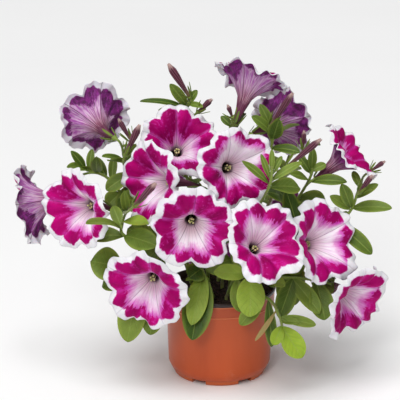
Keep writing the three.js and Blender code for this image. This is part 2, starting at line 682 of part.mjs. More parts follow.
function leafSolid(leaf) {
  const frame = leafFrame(leaf);
  const narrow = leaf.width < 10;
  const across = narrow ? [-1, 1] : [-1, 0, 1];
  const rows = narrow ? [0.5] : frame.length < 38 ? [0.3, 0.7] : [0.16, 0.45, 0.8];
  const grid = [[0, 0], ...rows.flatMap((p) => across.map((q) => [p, q])), [1, 0]];
  const under = grid.length;
  const points = [0, -BLADE].flatMap((drop) => grid.map(([p, q]) => (
    add(leafPoint(leaf, frame, p, q), mul(frame.normal, drop))
  )));
  const wide = across.length;
  const top = [];
  for (let k = 1; k < wide; k += 1) {
    top.push([0, k + 1, k], [under - 2 - k, under - 1 - k, under - 1]);
  }
  for (let i = 0; i + 1 < rows.length; i += 1) {
    for (let k = 0; k + 1 < wide; k += 1) {
      const a = 1 + wide * i + k;
      const b = a + wide;
      top.push(...(k ? [[a, a + 1, b], [a + 1, b + 1, b]] : [[a, a + 1, b + 1], [a, b + 1, b]]));
    }
  }
  const bottom = top.map(([a, b, c]) => [a + under, c + under, b + under]);
  const left = rows.map((_, i) => 1 + wide * i);
  const right = left.map((a) => a + wide - 1).reverse();
  const edge = [0, ...left, under - 1, ...right];
  const walls = edge.flatMap((a, i) => {
    const b = edge[(i + 1) % edge.length];
    return [[a, b, b + under], [a, b + under, a + under]];
  });
  return solid(points, [...top, ...bottom, ...walls]);
}

// Nearest point of a stem's centre line.
function nearestOnLine(line, point) {
  let best = line[0];
  for (let i = 0; i <= 80; i += 1) {
    const candidate = alongLine(line, i / 80);
    if (len(sub(candidate, point)) < len(sub(best, point))) {
      best = candidate;
    }
  }
  return best;
}

function listedLeaves(index, line) {
  return LEAVES.filter(([shoot]) => shoot === index).map(([, foot, tip, width, face]) => ({
    foot: nearestOnLine(line, at(foot)), tip: at(tip), width, face, arch: 0.07,
  }));
}

// Leaves by rule: outward, a little up or down, round the stem in turn.
function fillerLeaves(index, line) {
  return FILLERS.filter(([shoot]) => shoot === index).flatMap(([, count, short, long, seed, heading]) => {
    const random = seeded(seed * 7919 + 13);
    return Array.from({ length: count }, (_, k) => {
      const foot = alongLine(line, 0.34 + 0.62 * (k + 0.5) / count);
      const turn = rad(heading) + (k % 2 ? 1 : -1) * (0.2 + 1.1 * random());
      const rise = -0.3 + 0.8 * random();
      const length = short + (long - short) * random();
      const tip = add(foot, mul(unit([Math.cos(turn), Math.sin(turn), rise]), length));
      return { foot, tip, width: length * (0.5 + 0.12 * random()), face: 120, arch: 0.07 };
    });
  });
}

function leafyStem(index) {
  const shoot = SHOOTS[index];
  const line = stemLine(shoot);
  const parts = [stemTube(shoot)];
  BLOOMS.filter((bloom) => bloom.shoot === index).forEach((bloom) => {
    const frame = bloomFrame(bloom);
    const axisAt = (s) => bloomAxis(frame, BLOOM_LENGTH - s);
    const start = alongLine(line, bloom.from);
    const heading = headingOf(line, bloom.from);
    parts.push(stalkAndCalyx(start, heading, frame, axisAt, 14, !bloom.seenBehind));
  });
  BUDS.filter((bud) => bud.shoot === index).forEach((bud) => {
    const frame = budFrame(bud);
    const axisAt = (s) => add(frame.foot, mul(frame.out, s));
    const start = alongLine(line, bud.from);
    const length = Math.min(12, frame.length * 0.5);
    parts.push(stalkAndCalyx(start, headingOf(line, bud.from), frame, axisAt, length, true));
  });
  parts.push(...listedLeaves(index, line).map(leafSolid));
  parts.push(...fillerLeaves(index, line).map(leafSolid));
  return largest(union(parts).simplify(0.15));
}

// ---- pot and soil ----
function lathe(profile, sides) {
  const outline = profile.map(([radius, z]) => new THREE.Vector2(radius, z));
  const geometry = new THREE.LatheGeometry(outline, sides);
  geometry.rotateX(Math.PI / 2);
  return closed(geometry);
}

function box(width, depth, height, x, y, z, turn) {
  const geometry = new THREE.BoxGeometry(width, depth, height);
  geometry.translate(x, y, z);
  geometry.rotateZ(rad(turn));
  return closed(geometry);
}

function post(radius, low, high, x, y, sides) {
  const geometry = new THREE.CylinderGeometry(radius, radius, high - low, sides);
  geometry.rotateX(Math.PI / 2);
  geometry.translate(x, y, (low + high) / 2);
  return closed(geometry);
}

const POT_OUTSIDE = [
  [0, 0], [FOOT_RADIUS, 0], [FOOT_RADIUS + 0.5, 4.5], [48.7, 5], [52.2, 12.5],
  [54.3, 73.6], [55.7, 75.6], [56.1, 87], [56.9, 87.8], [56.7, POT_HEIGHT],
];

function potWall() {
  const inside = [
    [54.6, POT_HEIGHT], [52.9, 72], [50.8, 12.8], [45.2, FLOOR_THICK], [0, FLOOR_THICK],
  ];
  return lathe([...POT_OUTSIDE, ...inside], POT_SIDES);
}

function potSolid() {
  let pot = potWall();
  const ridgeLength = 46 - DRAIN_START + 2;
  for (let k = 0; k < DRAIN_COUNT; k += 1) {
    const turn = DRAIN_FIRST_ANGLE + 60 * k;
    const height = DRAIN_HEIGHT + FLOOR_THICK;
    const middle = DRAIN_START - 1.6 + ridgeLength / 2;
    pot = pot.add(box(ridgeLength, DRAIN_WIDTH + 3, height, middle, 0, height / 2, turn));
  }
  for (let k = 0; k < DRAIN_COUNT; k += 1) {
    const turn = DRAIN_FIRST_ANGLE + 60 * k;
    const reach = 60 - DRAIN_START;
    const height = DRAIN_HEIGHT + 2;
    pot = pot.subtract(
      box(reach, DRAIN_WIDTH, height, DRAIN_START + reach / 2, 0, DRAIN_HEIGHT - height / 2, turn),
    );
    const x = 30 * Math.cos(rad(turn));
    const y = 30 * Math.sin(rad(turn));
    pot = pot.subtract(post(3, -1, DRAIN_HEIGHT + FLOOR_THICK + 1, x, y, 6));
  }
  return pot.simplify(0.02);
}

function soilSolid() {
  const random = seeded(41);
  const profile = [
    [0, SOIL_BOTTOM], [46.4, SOIL_BOTTOM], [50.1, 13.2], [52.4, SOIL_TOP - 2],
    [51.5, SOIL_TOP], [38, SOIL_TOP + 0.8], [18, SOIL_TOP + 1], [0, SOIL_TOP + 0.6],
  ];
  const outline = profile.map(([radius, z]) => new THREE.Vector2(radius, z));
  const geometry = new THREE.LatheGeometry(outline, 20);
  geometry.rotateX(Math.PI / 2);
  const merged = mergeVertices(geometry.deleteAttribute('uv').deleteAttribute('normal'), 1e-3);
  const position = merged.attributes.position;
  for (let i = 0; i < position.count; i += 1) {
    const radius = Math.hypot(position.getX(i), position.getY(i));
    if (position.getZ(i) > SOIL_TOP - 1.5 && radius < 45) {
      position.setZ(i, position.getZ(i) + 1.6 * (random() - 0.5));
    }
  }
  let soil = closed(merged);
  SHOOTS.forEach((shoot) => {
    const [x, y] = shootPoints(shoot).buried;
    soil = soil.subtract(post(STEM_RADIUS + 0.65, HOLE_FLOOR, SOIL_TOP + 8, x, y, 5));
  });
  return soil.simplify(0.02);
}

// ---- the whole plant ----
const plant = new THREE.Group();
plant.name = 'potted_petunia';
plant.add(piece('pot', potSolid(), TERRACOTTA, 0.45));
plant.add(piece('potting_soil', soilSolid(), SOIL_BROWN, 0.95));
SHOOTS.forEach((shoot, index) => {
  plant.add(piece(`leafy_stem_${shoot.name}`, leafyStem(index), LEAF_GREEN, 0.6));
});
BLOOMS.forEach((bloom) => {
  const behind = Math.abs(bloom.turn) > 90;
  plant.add(piece(`bloom_${bloom.name}`, bloomSolid(bloom), behind ? PETAL_VIOLET : PETAL_MAGENTA, 0.55));
});
BUDS.forEach((bud) => {
  plant.add(piece(`bud_${bud.name}`, budSolid(bud), BUD_MAROON, 0.6));
});

export default plant;
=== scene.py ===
"""A potted petunia: fine petals, leaves, stems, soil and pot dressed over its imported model."""
import math
from functools import partialmethod
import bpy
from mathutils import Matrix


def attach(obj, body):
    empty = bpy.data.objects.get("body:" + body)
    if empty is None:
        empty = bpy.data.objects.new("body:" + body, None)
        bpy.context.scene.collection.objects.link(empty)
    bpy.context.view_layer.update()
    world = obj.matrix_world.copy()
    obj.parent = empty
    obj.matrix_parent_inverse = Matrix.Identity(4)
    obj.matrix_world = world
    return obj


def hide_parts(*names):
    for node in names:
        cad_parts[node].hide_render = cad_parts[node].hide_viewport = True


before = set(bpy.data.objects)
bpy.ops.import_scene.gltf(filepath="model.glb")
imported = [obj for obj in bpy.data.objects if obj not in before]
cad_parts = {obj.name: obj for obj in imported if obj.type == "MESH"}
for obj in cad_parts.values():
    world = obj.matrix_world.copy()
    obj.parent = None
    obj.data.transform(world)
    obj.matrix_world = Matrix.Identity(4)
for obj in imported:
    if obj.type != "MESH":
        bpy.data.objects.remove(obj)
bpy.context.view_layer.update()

from types import SimpleNamespace

import bmesh
import bpy
import numpy as np
from mathutils import Matrix, Vector, noise

scene = bpy.context.scene

# ---- sizes in mm; the forms are those of the part's own solids ----
MM = 0.001
DRAINS = 6
DRAIN_HEIGHT, DRAIN_WIDTH, DRAIN_START, DRAIN_END = 4.4, 15, 16, 60
DRAIN_FIRST_ANGLE = -57
DRAIN_HOLE_REACH, DRAIN_HOLE_RADIUS = 30, 3
RIDGE_LENGTH, RIDGE_WALL, RIDGE_MARGIN, RIDGE_FOOT = 30.5, 1.6, 1.5, 0.8
SOIL_TOP = 84
SOIL_SURFACE = SOIL_TOP + 0.6
CRUMBS, CRUMB_REACH = 900, 50
HOLE_FLOOR = 70
BLADE = 0.75
LEAF_ARCH = 0.07
WIDEST_LEAF = 40
TUBE_DEPTH = 24
BLOOM_LENGTH = 56
TUBE_FOOT, MOUTH = 2, 7.5
STEM_RADIUS = 1.7
STALK_RADIUS = 1.15
HAIRS_PER_MM = 1.5
SEPALS, SEPAL_LENGTH, BUD_SEPAL_LENGTH = 5, 14, 12
STAMENS = 5
EYE_DISTANCE = 1500
EYE_TILT = math.radians(17)
SKETCH_MIDDLE = (-20, 170)
AIM = np.array([-20, 0, 181.4])
AHEAD = np.array([0, math.cos(EYE_TILT), -math.sin(EYE_TILT)])

# share of a petal's length, from the foot of its tube, at which the throat opens into the limb
THROAT = 0.4

# numbers of the materials on a piece
FACE, BACK = 0, 1
LEAF, STEM, HAIR = 0, 1, 2
FILAMENT, ANTHER, STIGMA = 0, 1, 2


def rows_of(columns, rows):
    """The rows of a table by the names of its columns; what a row leaves out is None."""
    names = columns.split()
    blank = dict.fromkeys(names)
    return [SimpleNamespace(**{**blank, **dict(zip(names, row))}) for row in rows]


# ---- tables; places are points of the front-view sketch, shoots are numbered from 0 ----
# place is the middle of the limb, start the place on the shoot, foot that of a bent tube
BLOOMS = rows_of("name place turn lift radius roll shoot start foot", [
    ["far_left", [-146, 160, -52], -35, 4, 40, 10, 1, 0.84, [-108, 160, -12]],
    ["upper_left", [-40, 230, -22], 10, 40, 39, 0, 3, 0.45],
    ["inner_left", [-72, 187, -67], -50, 8, 41, 20, 3, 0.2, [-21, 184, -30]],
    ["upper_middle", [18, 202, -55], 22, 14, 40, 8, 5, 0.3],
    ["front_middle", [-27, 140, -101], 4, -2, 41, -5, 11, 0.62],
    ["front_right", [46, 130, -108], 27, 34, 41, 15, 12, 0.62],
    ["right", [106, 129, -56], 44, 20, 43, 0, 9, 0.62],
    ["lower_left", [-75, 79, -88], -16, -10, 42, -12, 2, 0.5],
    ["rear_left", [-127, 253, 15], -159, 11, 37, 12, 0, 0.9, [-106, 232, -32]],
    ["edge_left", [-192, 165, 5], -98, -16, 40, 0, 4, 0.74, [-144, 189, -6]],
    ["top", [32, 294, 20], 149, 53, 38, 8, 6, 0.72, [15, 246, -12]],
    ["rear_top", [64, 249, 45], 142, 3, 36, 0, 7, 0.5],
    ["edge_right", [133, 220, 2], 78, 42, 34, 12, 8, 0.62, [96, 192, -2]],
    ["low_right", [138, 66, -46], 44, -16, 42, 0, 10, 0.6, [108, 89, -10]],
    ["back_left", [-66, 188, 94], -150, 20, 40, 5, 13, 0.5],
    ["back_right", [78, 150, 88], 146, 14, 39, -8, 14, 0.25],
    ["back_low", [-6, 128, 104], 178, -4, 41, 0, 15, 0.5],
])

BUDS = rows_of("name tip foot radius shoot start", [
    ["crown", [-51, 305, 6], [-31, 274, 10], 3.6, 3, 0.9],
    ["upper_left", [-81, 244, -38], [-94, 216, -36], 3.4, 0, 0.7],
    ["inner_left", [-65, 186, -108], [-85, 165, -92], 3.2, 1, 0.78],
    ["rear_left", [-101, 250, 2], [-90, 231, -2], 2.6, 0, 0.97],
    ["top_right", [72, 276, -4], [51, 245, -2], 3.2, 7, 0.8],
    ["right", [100, 230, -34], [69, 205, -34], 3.2, 5, 0.88],
    ["top_small", [-9, 270, 6], [-21, 259, 6], 2.8, 3, 0.8],
    ["top_tiny", [8, 264, -22], [12, 254, -20], 2.2, 6, 0.9],
    ["edge_small", [164, 208, 26], [152, 200, 24], 2.4, 9, 0.9],
    ["edge_dark", [152, 194, -27], [140, 179, -22], 2.8, 9, 0.86],
    ["withered", [84, 238, 4], [83, 223, 4], 2.4, 8, 0.78],
])

# hole is where the stem enters the soil, by angle and distance
SHOOTS = rows_of("name hole path", [
    ["upper_left", [188, 27], [[-40, 120, -12], [-70, 165, -18], [-92, 200, -20],
     [-98, 224, -22]]],
    ["left", [206, 20], [[-34, 108, -18], [-62, 124, -26], [-84, 129, -48], [-98, 137, -56],
     [-97, 150, -48], [-90, 166, -52]]],
    ["low_left", [222, 29], [[-40, 84, -30], [-62, 84, -36], [-88, 96, -42], [-112, 112, -44]]],
    ["top_left", [150, 12], [[-16, 118, 0], [-27, 160, 10], [-30, 198, 24], [-33, 235, 26],
     [-35, 256, 20], [-31, 268, 10]]],
    ["far_left", [176, 18], [[-34, 120, 6], [-66, 150, 8], [-94, 172, 4], [-110, 190, 0],
     [-122, 197, -2], [-134, 200, -4]]],
    ["middle", [312, 14], [[12, 110, -16], [14, 140, -22], [38, 164, -56], [50, 186, -78],
     [52, 204, -80]]],
    ["top", [70, 8], [[3, 120, 6], [5, 165, 8], [8, 205, 0], [12, 230, -8], [12, 248, -16]]],
    ["top_right", [36, 16], [[18, 120, 6], [32, 160, 8], [44, 196, 4], [52, 226, 2],
     [54, 244, 2]]],
    ["right", [8, 18], [[34, 116, 2], [62, 150, 4], [82, 178, 0], [92, 198, -4], [90, 212, -2]]],
    ["far_right", [352, 27], [[44, 104, -8], [80, 122, -12], [112, 140, -10], [131, 160, -8],
     [137, 176, -8], [142, 187, -4]]],
    ["low_right", [334, 28], [[46, 90, -22], [72, 92, -34], [94, 90, -40], [112, 86, -44]]],
    ["front_left", [252, 22], [[-16, 96, -36], [-24, 112, -52], [-27, 128, -60]]],
    ["front_right", [286, 24], [[16, 92, -38], [32, 96, -56], [48, 92, -66], [58, 84, -70]]],
    ["back_left", [128, 27], [[-20, 126, 34], [-28, 160, 42], [-33, 192, 44], [-36, 216, 48]]],
    ["back_right", [52, 28], [[30, 130, 36], [48, 165, 46], [62, 196, 52], [72, 222, 52]]],
    ["back_low", [92, 29], [[-2, 118, 52], [-6, 134, 68], [-10, 156, 80]]],
    ["trailing", [308, 31], [[40, 74, -56], [52, 68, -66], [60, 52, -70], [62, 44, -70]]],
])

# face is the tilt of the face in degrees; tone is 0 dark, for older leaves and as painted shade
# on leaves set among the others, 1 light, for new leaves and as painted light on lit ones, 1.5
# withered
LEAVES = rows_of("shoot foot tip width face tone", [
    # upper left tuft
    [4, [-135, 205, -6], [-149, 219, -10], 9, 40], [4, [-131, 202, 0], [-128, 221, 4], 8, 20],
    [4, [-130, 199, -8], [-153, 203, -18], 12, 60],
    [4, [-122, 196, -8], [-124, 213, -22], 12, 30], [4, [-112, 194, 2], [-125, 213, 8], 10, 40],
    [4, [-108, 190, 6], [-106, 214, 14], 9, 30], [0, [-98, 206, -28], [-118, 214, -34], 9, 60],
    [0, [-98, 206, -28], [-84, 226, -14], 8, 40],
    # left tuft
    [1, [-98, 141, -60], [-134, 147, -108], 13, 50],
    [1, [-98, 134, -52], [-132, 133, -50], 17, 50], [1, [-95, 148, -54], [-72, 146, -84], 13, 50],
    [1, [-94, 136, -60], [-62, 124, -80], 23, 35, 0.35],
    [1, [-98, 140, -50], [-107, 164, -32], 12, 35], [1, [-94, 156, -54], [-96, 179, -72], 9, 20],
    [2, [-98, 103, -44], [-129, 109, -54], 33, 25, 0.4],
    [2, [-112, 112, -44], [-121, 95, -54], 24, 20],
    # crown tufts
    [3, [-46, 262, 10], [-80, 269, 8], 9, 60], [3, [-46, 264, 10], [-50, 286, 4], 11, 20],
    [3, [-34, 264, 10], [-23, 280, 12], 8, 40], [3, [-33, 262, 6], [-17, 263, 0], 7, 40],
    [3, [-36, 260, 14], [-62, 260, 26], 8, 60], [6, [11, 244, -12], [1, 254, -8], 8, 40],
    # top right tuft
    [7, [53, 230, 0], [59, 250, -10], 15, 20], [7, [52, 222, 2], [80, 218, -8], 12, 50],
    [7, [50, 236, 2], [32, 254, -4], 11, 40], [7, [53, 238, 2], [40, 266, 6], 10, 30],
    # middle tuft, in front of the upper bloom
    [5, [49, 190, -72], [22, 209, -84], 8, 40, 0.3],
    [5, [53, 192, -72], [82, 208, -66], 9, 50, 0.5],
    [5, [50, 196, -72], [41, 216, -78], 6, 20, 0.3],
    [5, [52, 199, -72], [52, 221, -76], 5.5, 20, 0.35],
    [5, [53, 197, -72], [62, 214, -70], 6, 30, 0.3],
    [5, [52, 190, -66], [80, 182, -54], 17, 40, 0.3],
    [5, [50, 182, -66], [60, 174, -46], 18, 30, 0.05],
    [9, [72, 143, -26], [66, 180, -30], 22, 20, 0], [8, [68, 164, -4], [54, 182, -22], 16, 30],
    # right tufts
    [8, [92, 186, -6], [127, 188, -18], 13, 50], [8, [91, 196, -4], [79, 214, -10], 9, 30],
    [8, [92, 198, -4], [106, 206, 0], 9, 40], [8, [90, 200, -4], [93, 222, -12], 9, 20],
    [8, [88, 190, -4], [70, 196, -16], 10, 50], [9, [131, 162, -10], [122, 186, -16], 13, 20],
    [9, [130, 160, -8], [110, 174, -12], 11, 30], [9, [134, 161, -8], [172, 162, -20], 14, 45],
    [9, [136, 172, -4], [158, 186, -12], 9, 40], [9, [139, 182, -4], [133, 199, 4], 8, 30],
    [9, [118, 146, -6], [152, 116, -26], 17, 30],
    # below the blooms, over the rim of the pot
    [11, [-18, 79, -58], [-28, 45, -80], 21, 20, 0.78],
    [11, [-30, 76, -56], [-28, 30, -78], 30, 10, 0], [11, [6, 79, -50], [-34, 90, -58], 8, 70],
    [11, [-2, 104, -44], [-31, 92, -52], 22, 35, 0.05],
    [11, [2, 98, -42], [-20, 86, -48], 14, 30, 0.2],
    [12, [25, 86, -58], [-6, 98, -66], 17, 35, 0.8],
    [12, [30, 87, -60], [30, 53, -80], 28, 15, 0.88],
    [12, [42, 79, -66], [65, 84, -80], 12, 50, 0.8],
    [12, [8, 88, -48], [20, 58, -60], 18, 20, 0.6],
    [16, [42, 68, -62], [20, 45, -68], 16, 20, 0.5],
    [16, [46, 66, -64], [52, 23, -62], 12, 20, 0.1],
    [16, [39, 50, -70], [35, 29, -70], 5, 10, 1.5],
    [16, [62, 44, -70], [82, 12, -80], 22, 20, 1.1],
    [16, [60, 44, -70], [53, 25, -78], 13, 20, 1.1], [16, [62, 50, -68], [79, 48, -76], 8, 40],
    [16, [68, 56, -68], [96, 45, -72], 11, 30],
    # lower right, beside the pot
    [10, [71, 84, -44], [59, 52, -64], 20, 20, 0.15],
    [10, [70, 98, -40], [100, 57, -62], 18, 30, 0.45],
    [10, [96, 86, -38], [105, 50, -60], 24, 25, 0.25],
    [10, [90, 92, -36], [114, 80, -34], 22, 30],
    # lower left, beside the pot
    [2, [-86, 80, -44], [-93, 28, -58], 28, 20], [2, [-62, 84, -34], [-70, 35, -54], 24, 20],
    [2, [-84, 94, -40], [-118, 84, -32], 20, 40],
    # deeper among the stems
    [1, [-66, 125, -30], [-92, 142, -22], 24, 30], [1, [-60, 122, -26], [-80, 104, -20], 24, 30],
    [0, [-70, 165, -18], [-100, 172, -32], 24, 30],
    [0, [-92, 196, -20], [-114, 180, -28], 16, 30], [4, [-100, 178, 4], [-113, 164, -4], 18, 30],
    [0, [-84, 186, -20], [-100, 158, -20], 20, 30], [0, [-46, 130, -14], [-76, 112, -6], 26, 30],
    [4, [-50, 134, 6], [-84, 126, 12], 27, 30], [10, [58, 91, -28], [77, 66, -32], 26, 30],
    [9, [56, 110, -10], [82, 82, -16], 26, 30], [10, [94, 90, -40], [114, 97, -24], 20, 30],
    [8, [66, 156, 4], [92, 148, 8], 24, 30], [8, [78, 172, 2], [106, 168, 10], 20, 30],
    [9, [94, 130, -12], [82, 160, -14], 24, 20], [5, [12, 112, -16], [-14, 100, -30], 26, 30],
    [5, [14, 120, -18], [38, 100, -34], 26, 30], [9, [46, 106, -10], [62, 85, -12], 24, 30],
    [9, [62, 114, -12], [84, 100, -18], 24, 30],
])

# leaves by rule: shoot, count, shortest, longest, seed and heading in degrees
FILLERS = [
    [13, 5, 26, 38, 3, 120], [14, 5, 26, 38, 7, 60], [15, 6, 26, 38, 48, 90],
    [6, 3, 24, 34, 1, 90], [3, 2, 22, 30, 2, 110], [7, 3, 22, 32, 2, 70],
    [8, 2, 22, 32, 1, 45], [4, 2, 22, 32, 1, 120], [0, 2, 22, 30, 1, 150],
]

# bloom by bloom: how far the pale star reaches, the direction in which magenta comes closest to
# the throat, how pink the star is, and how far its arms run out along the midribs
STARS = {
    "far_left": (0.4, 1.0, 0.4, 0.1), "upper_left": (0.34, 0.3, 0.6, 0.05),
    "inner_left": (0.44, 0.6, 0.4, 0.15), "upper_middle": (0.5, 2.5, 0.25, 0.12),
    "front_middle": (0.36, 0.1, 0.1, 0.03), "front_right": (0.32, 2.9, 0.5, 0.1),
    "right": (0.36, 1.4, 0.4, 0.25), "lower_left": (0.32, 0.0, 0.5, 0.1),
    "low_right": (0.26, 1.2, 0.7, 0.3), "edge_right": (0.16, 2.2, 0.5, 0.05),
}

# directions in which another bloom's petals or tube lie close, so that the ruffles fade there
CLOSE_BY = {
    "upper_left": (2.9,), "front_middle": (2.55, 5.19), "front_right": (0.4,),
    "lower_left": (5.92,),
}


# ---- vectors ----
def unit(v):
    """Direction of v."""
    return v / np.linalg.norm(v, axis=-1, keepdims=True)


def at(place):
    """Point of the front-view sketch: right and up in mm from the pot's foot, depth along Y."""
    right, up, back = place
    above = np.array([0, math.sin(EYE_TILT), math.cos(EYE_TILT)])
    eye = AIM - AHEAD * EYE_DISTANCE
    ray = AHEAD * EYE_DISTANCE + above * (up - SKETCH_MIDDLE[1])
    ray[0] += right - SKETCH_MIDDLE[0]
    return eye + ray * ((back - eye[1]) / ray[1])


def facing(turn, lift):
    """Direction given as a turn to the viewer's right and a lift above level, in degrees."""
    t, e = math.radians(turn), math.radians(lift)
    return np.array([math.sin(t) * math.cos(e), -math.cos(t) * math.cos(e), math.sin(e)])


def turned(first, second, angle):
    """Direction at an angle from first toward second."""
    return first * np.cos(angle)[..., None] + second * np.sin(angle)[..., None]


def at_pole(v):
    """True in the first and last row of a grid, which close to a point."""
    return (v < 1e-4) | (v > 1 - 1e-4)


def seeded(seed):
    """Random numbers, the same every time and the same as the part's own."""
    state = [seed]

    def draw():
        state[0] = state[0] * 16807 % 2147483647
        return state[0] / 2147483647

    return draw


def curve_points(points, count):
    """count + 1 points of the smooth curve through the listed ones."""
    points = np.asarray(points, float)
    spans = len(points) - 1
    t = np.linspace(0, spans, count + 1)
    i = np.minimum(t.astype(int), spans - 1)
    f = (t - i)[:, None]
    p1, p2 = points[i], points[i + 1]
    c1 = (p2 - points[np.maximum(i - 1, 0)]) / 2
    c2 = (points[np.minimum(i + 2, spans)] - p1) / 2
    ends = (2 * f**3 - 3 * f**2 + 1) * p1 + (3 * f**2 - 2 * f**3) * p2
    return ends + (f**3 - 2 * f**2 + f) * c1 + (f**3 - f**2) * c2


def along_line(points, t):
    """Point at the share t of a list of points."""
    place = min(max(t, 0), 1) * (len(points) - 1)
    i = min(int(place), len(points) - 2)
    return points[i] * (1 - place + i) + points[i + 1] * (place - i)


def ease(x, low, high):
    """0 below low, 1 above high, smooth between."""
    t = np.clip((x - low) / (high - low), 0, 1)
    return t * t * (3 - 2 * t)


# ---- making meshes ----
def grid(columns, rows, place, chart=None, kind=None, sort=(0, 0)):
    """A grid bent to place(u, v) in mm, seams and poles welded. u and v run 0..1, chart(u, v)
    gives its surface map, kind(v) the number of its material, sort its second map."""
    bm = bmesh.new()
    bmesh.ops.create_grid(bm, x_segments=columns, y_segments=rows, size=0.5)
    flat = np.array([vert.co[:2] for vert in bm.verts]) + 0.5
    u, v = np.round(flat[:, 0], 5), np.round(flat[:, 1], 5)
    surface = bm.loops.layers.uv.new("surface")
    second = bm.loops.layers.uv.new("sort")
    uv = np.stack(chart(u, v) if chart else (u, v), axis=1)
    for face in bm.faces:
        if kind:
            face.material_index = kind(sum(v[vert.index] for vert in face.verts) / 4)
        for loop in face.loops:
            loop[surface].uv = uv[loop.vert.index]
            loop[second].uv = sort
    for vert, point in zip(bm.verts, place(u, v) * MM):
        vert.co = point
    bmesh.ops.remove_doubles(bm, verts=bm.verts, dist=2e-6)
    bmesh.ops.dissolve_degenerate(bm, edges=bm.edges, dist=1e-6)
    return bm


def tube(points, radii, sides, kind=0, sort=(0, 0), end=None):
    """Closed round tube through points, with a radius at each. end gives the two directions in
    whose plane the last rings lie, and their number."""
    points, radii = np.asarray(points, float), np.asarray(radii, float)
    along = unit(np.gradient(points, axis=0))
    asides = []
    aside = np.array([0.31, 0.87, 0.38])
    for direction in along:
        aside = unit(aside - direction * (aside @ direction))
        asides.append(aside)
    asides = np.array(asides)
    others = np.cross(along, asides)
    if end:
        first, second, count = end
        turn = math.atan2(asides[-count - 1] @ second, asides[-count - 1] @ first)
        asides[-count:] = turned(first, second, turn)
        others[-count:] = turned(second, -first, turn)
    rows = len(points) + 1

    def place(u, v):
        row = np.round(v * rows).astype(int)
        i = np.clip(row - 1, 0, len(points) - 1)
        r = np.where((row == 0) | (row == rows), 0, radii[i])[:, None]
        turn = (2 * math.pi * u)[:, None]
        return points[i] + r * (asides[i] * np.cos(turn) + others[i] * np.sin(turn))

    return grid(sides, rows, place, kind=lambda v: kind, sort=sort)


def mesh_of(name, bm):
    """Mesh of a bmesh, which is freed."""
    mesh = bpy.data.meshes.new(name)
    bm.to_mesh(mesh)
    bm.free()
    return mesh


def linked(name, data):
    """Object with that data, in the scene."""
    made = bpy.data.objects.new(name, data)
    scene.collection.objects.link(made)
    return made


def joined(parts):
    """One bmesh of several."""
    whole = bmesh.new()
    whole.loops.layers.uv.new("surface")
    whole.loops.layers.uv.new("sort")
    for part in parts:
        bmesh.ops.recalc_face_normals(part, faces=part.faces)
        scrap = mesh_of("scrap", part)
        whole.from_mesh(scrap)
        bpy.data.meshes.remove(scrap)
    return whole


def finished(name, parts, materials, node=None):
    """The piece itself: smooth, with its materials, on the part's one body."""
    whole = joined(parts)
    for face in whole.faces:
        face.smooth = True
    mesh = mesh_of(name, whole)
    for material in materials:
        mesh.materials.append(material)
    piece = linked(name, mesh)
    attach(piece, "root")
    if node:
        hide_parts(node)
    return piece


# ---- shader maths ----
class Value:
    """A number on the surface. Arithmetic on it adds Math nodes."""

    def __init__(self, paint, socket):
        self.paint = paint
        self.socket = socket

    def math(self, operation, *others):
        return self.paint.math(operation, self, *others)

    __add__ = __radd__ = partialmethod(math, "ADD")
    __sub__ = partialmethod(math, "SUBTRACT")
    __mul__ = __rmul__ = partialmethod(math, "MULTIPLY")
    __truediv__ = partialmethod(math, "DIVIDE")
    __pow__ = partialmethod(math, "POWER")
    __abs__ = partialmethod(math, "ABSOLUTE")

    def __rsub__(self, other):
        return self.paint.math("SUBTRACT", other, self)


def linear(colour):
    """Shader colour of a #rrggbb one."""
    parts = [int(colour[i : i + 2], 16) / 255 for i in (1, 3, 5)]
    return [(c / 12.92 if c < 0.04 else ((c + 0.055) / 1.055) ** 2.4) for c in parts] + [1]


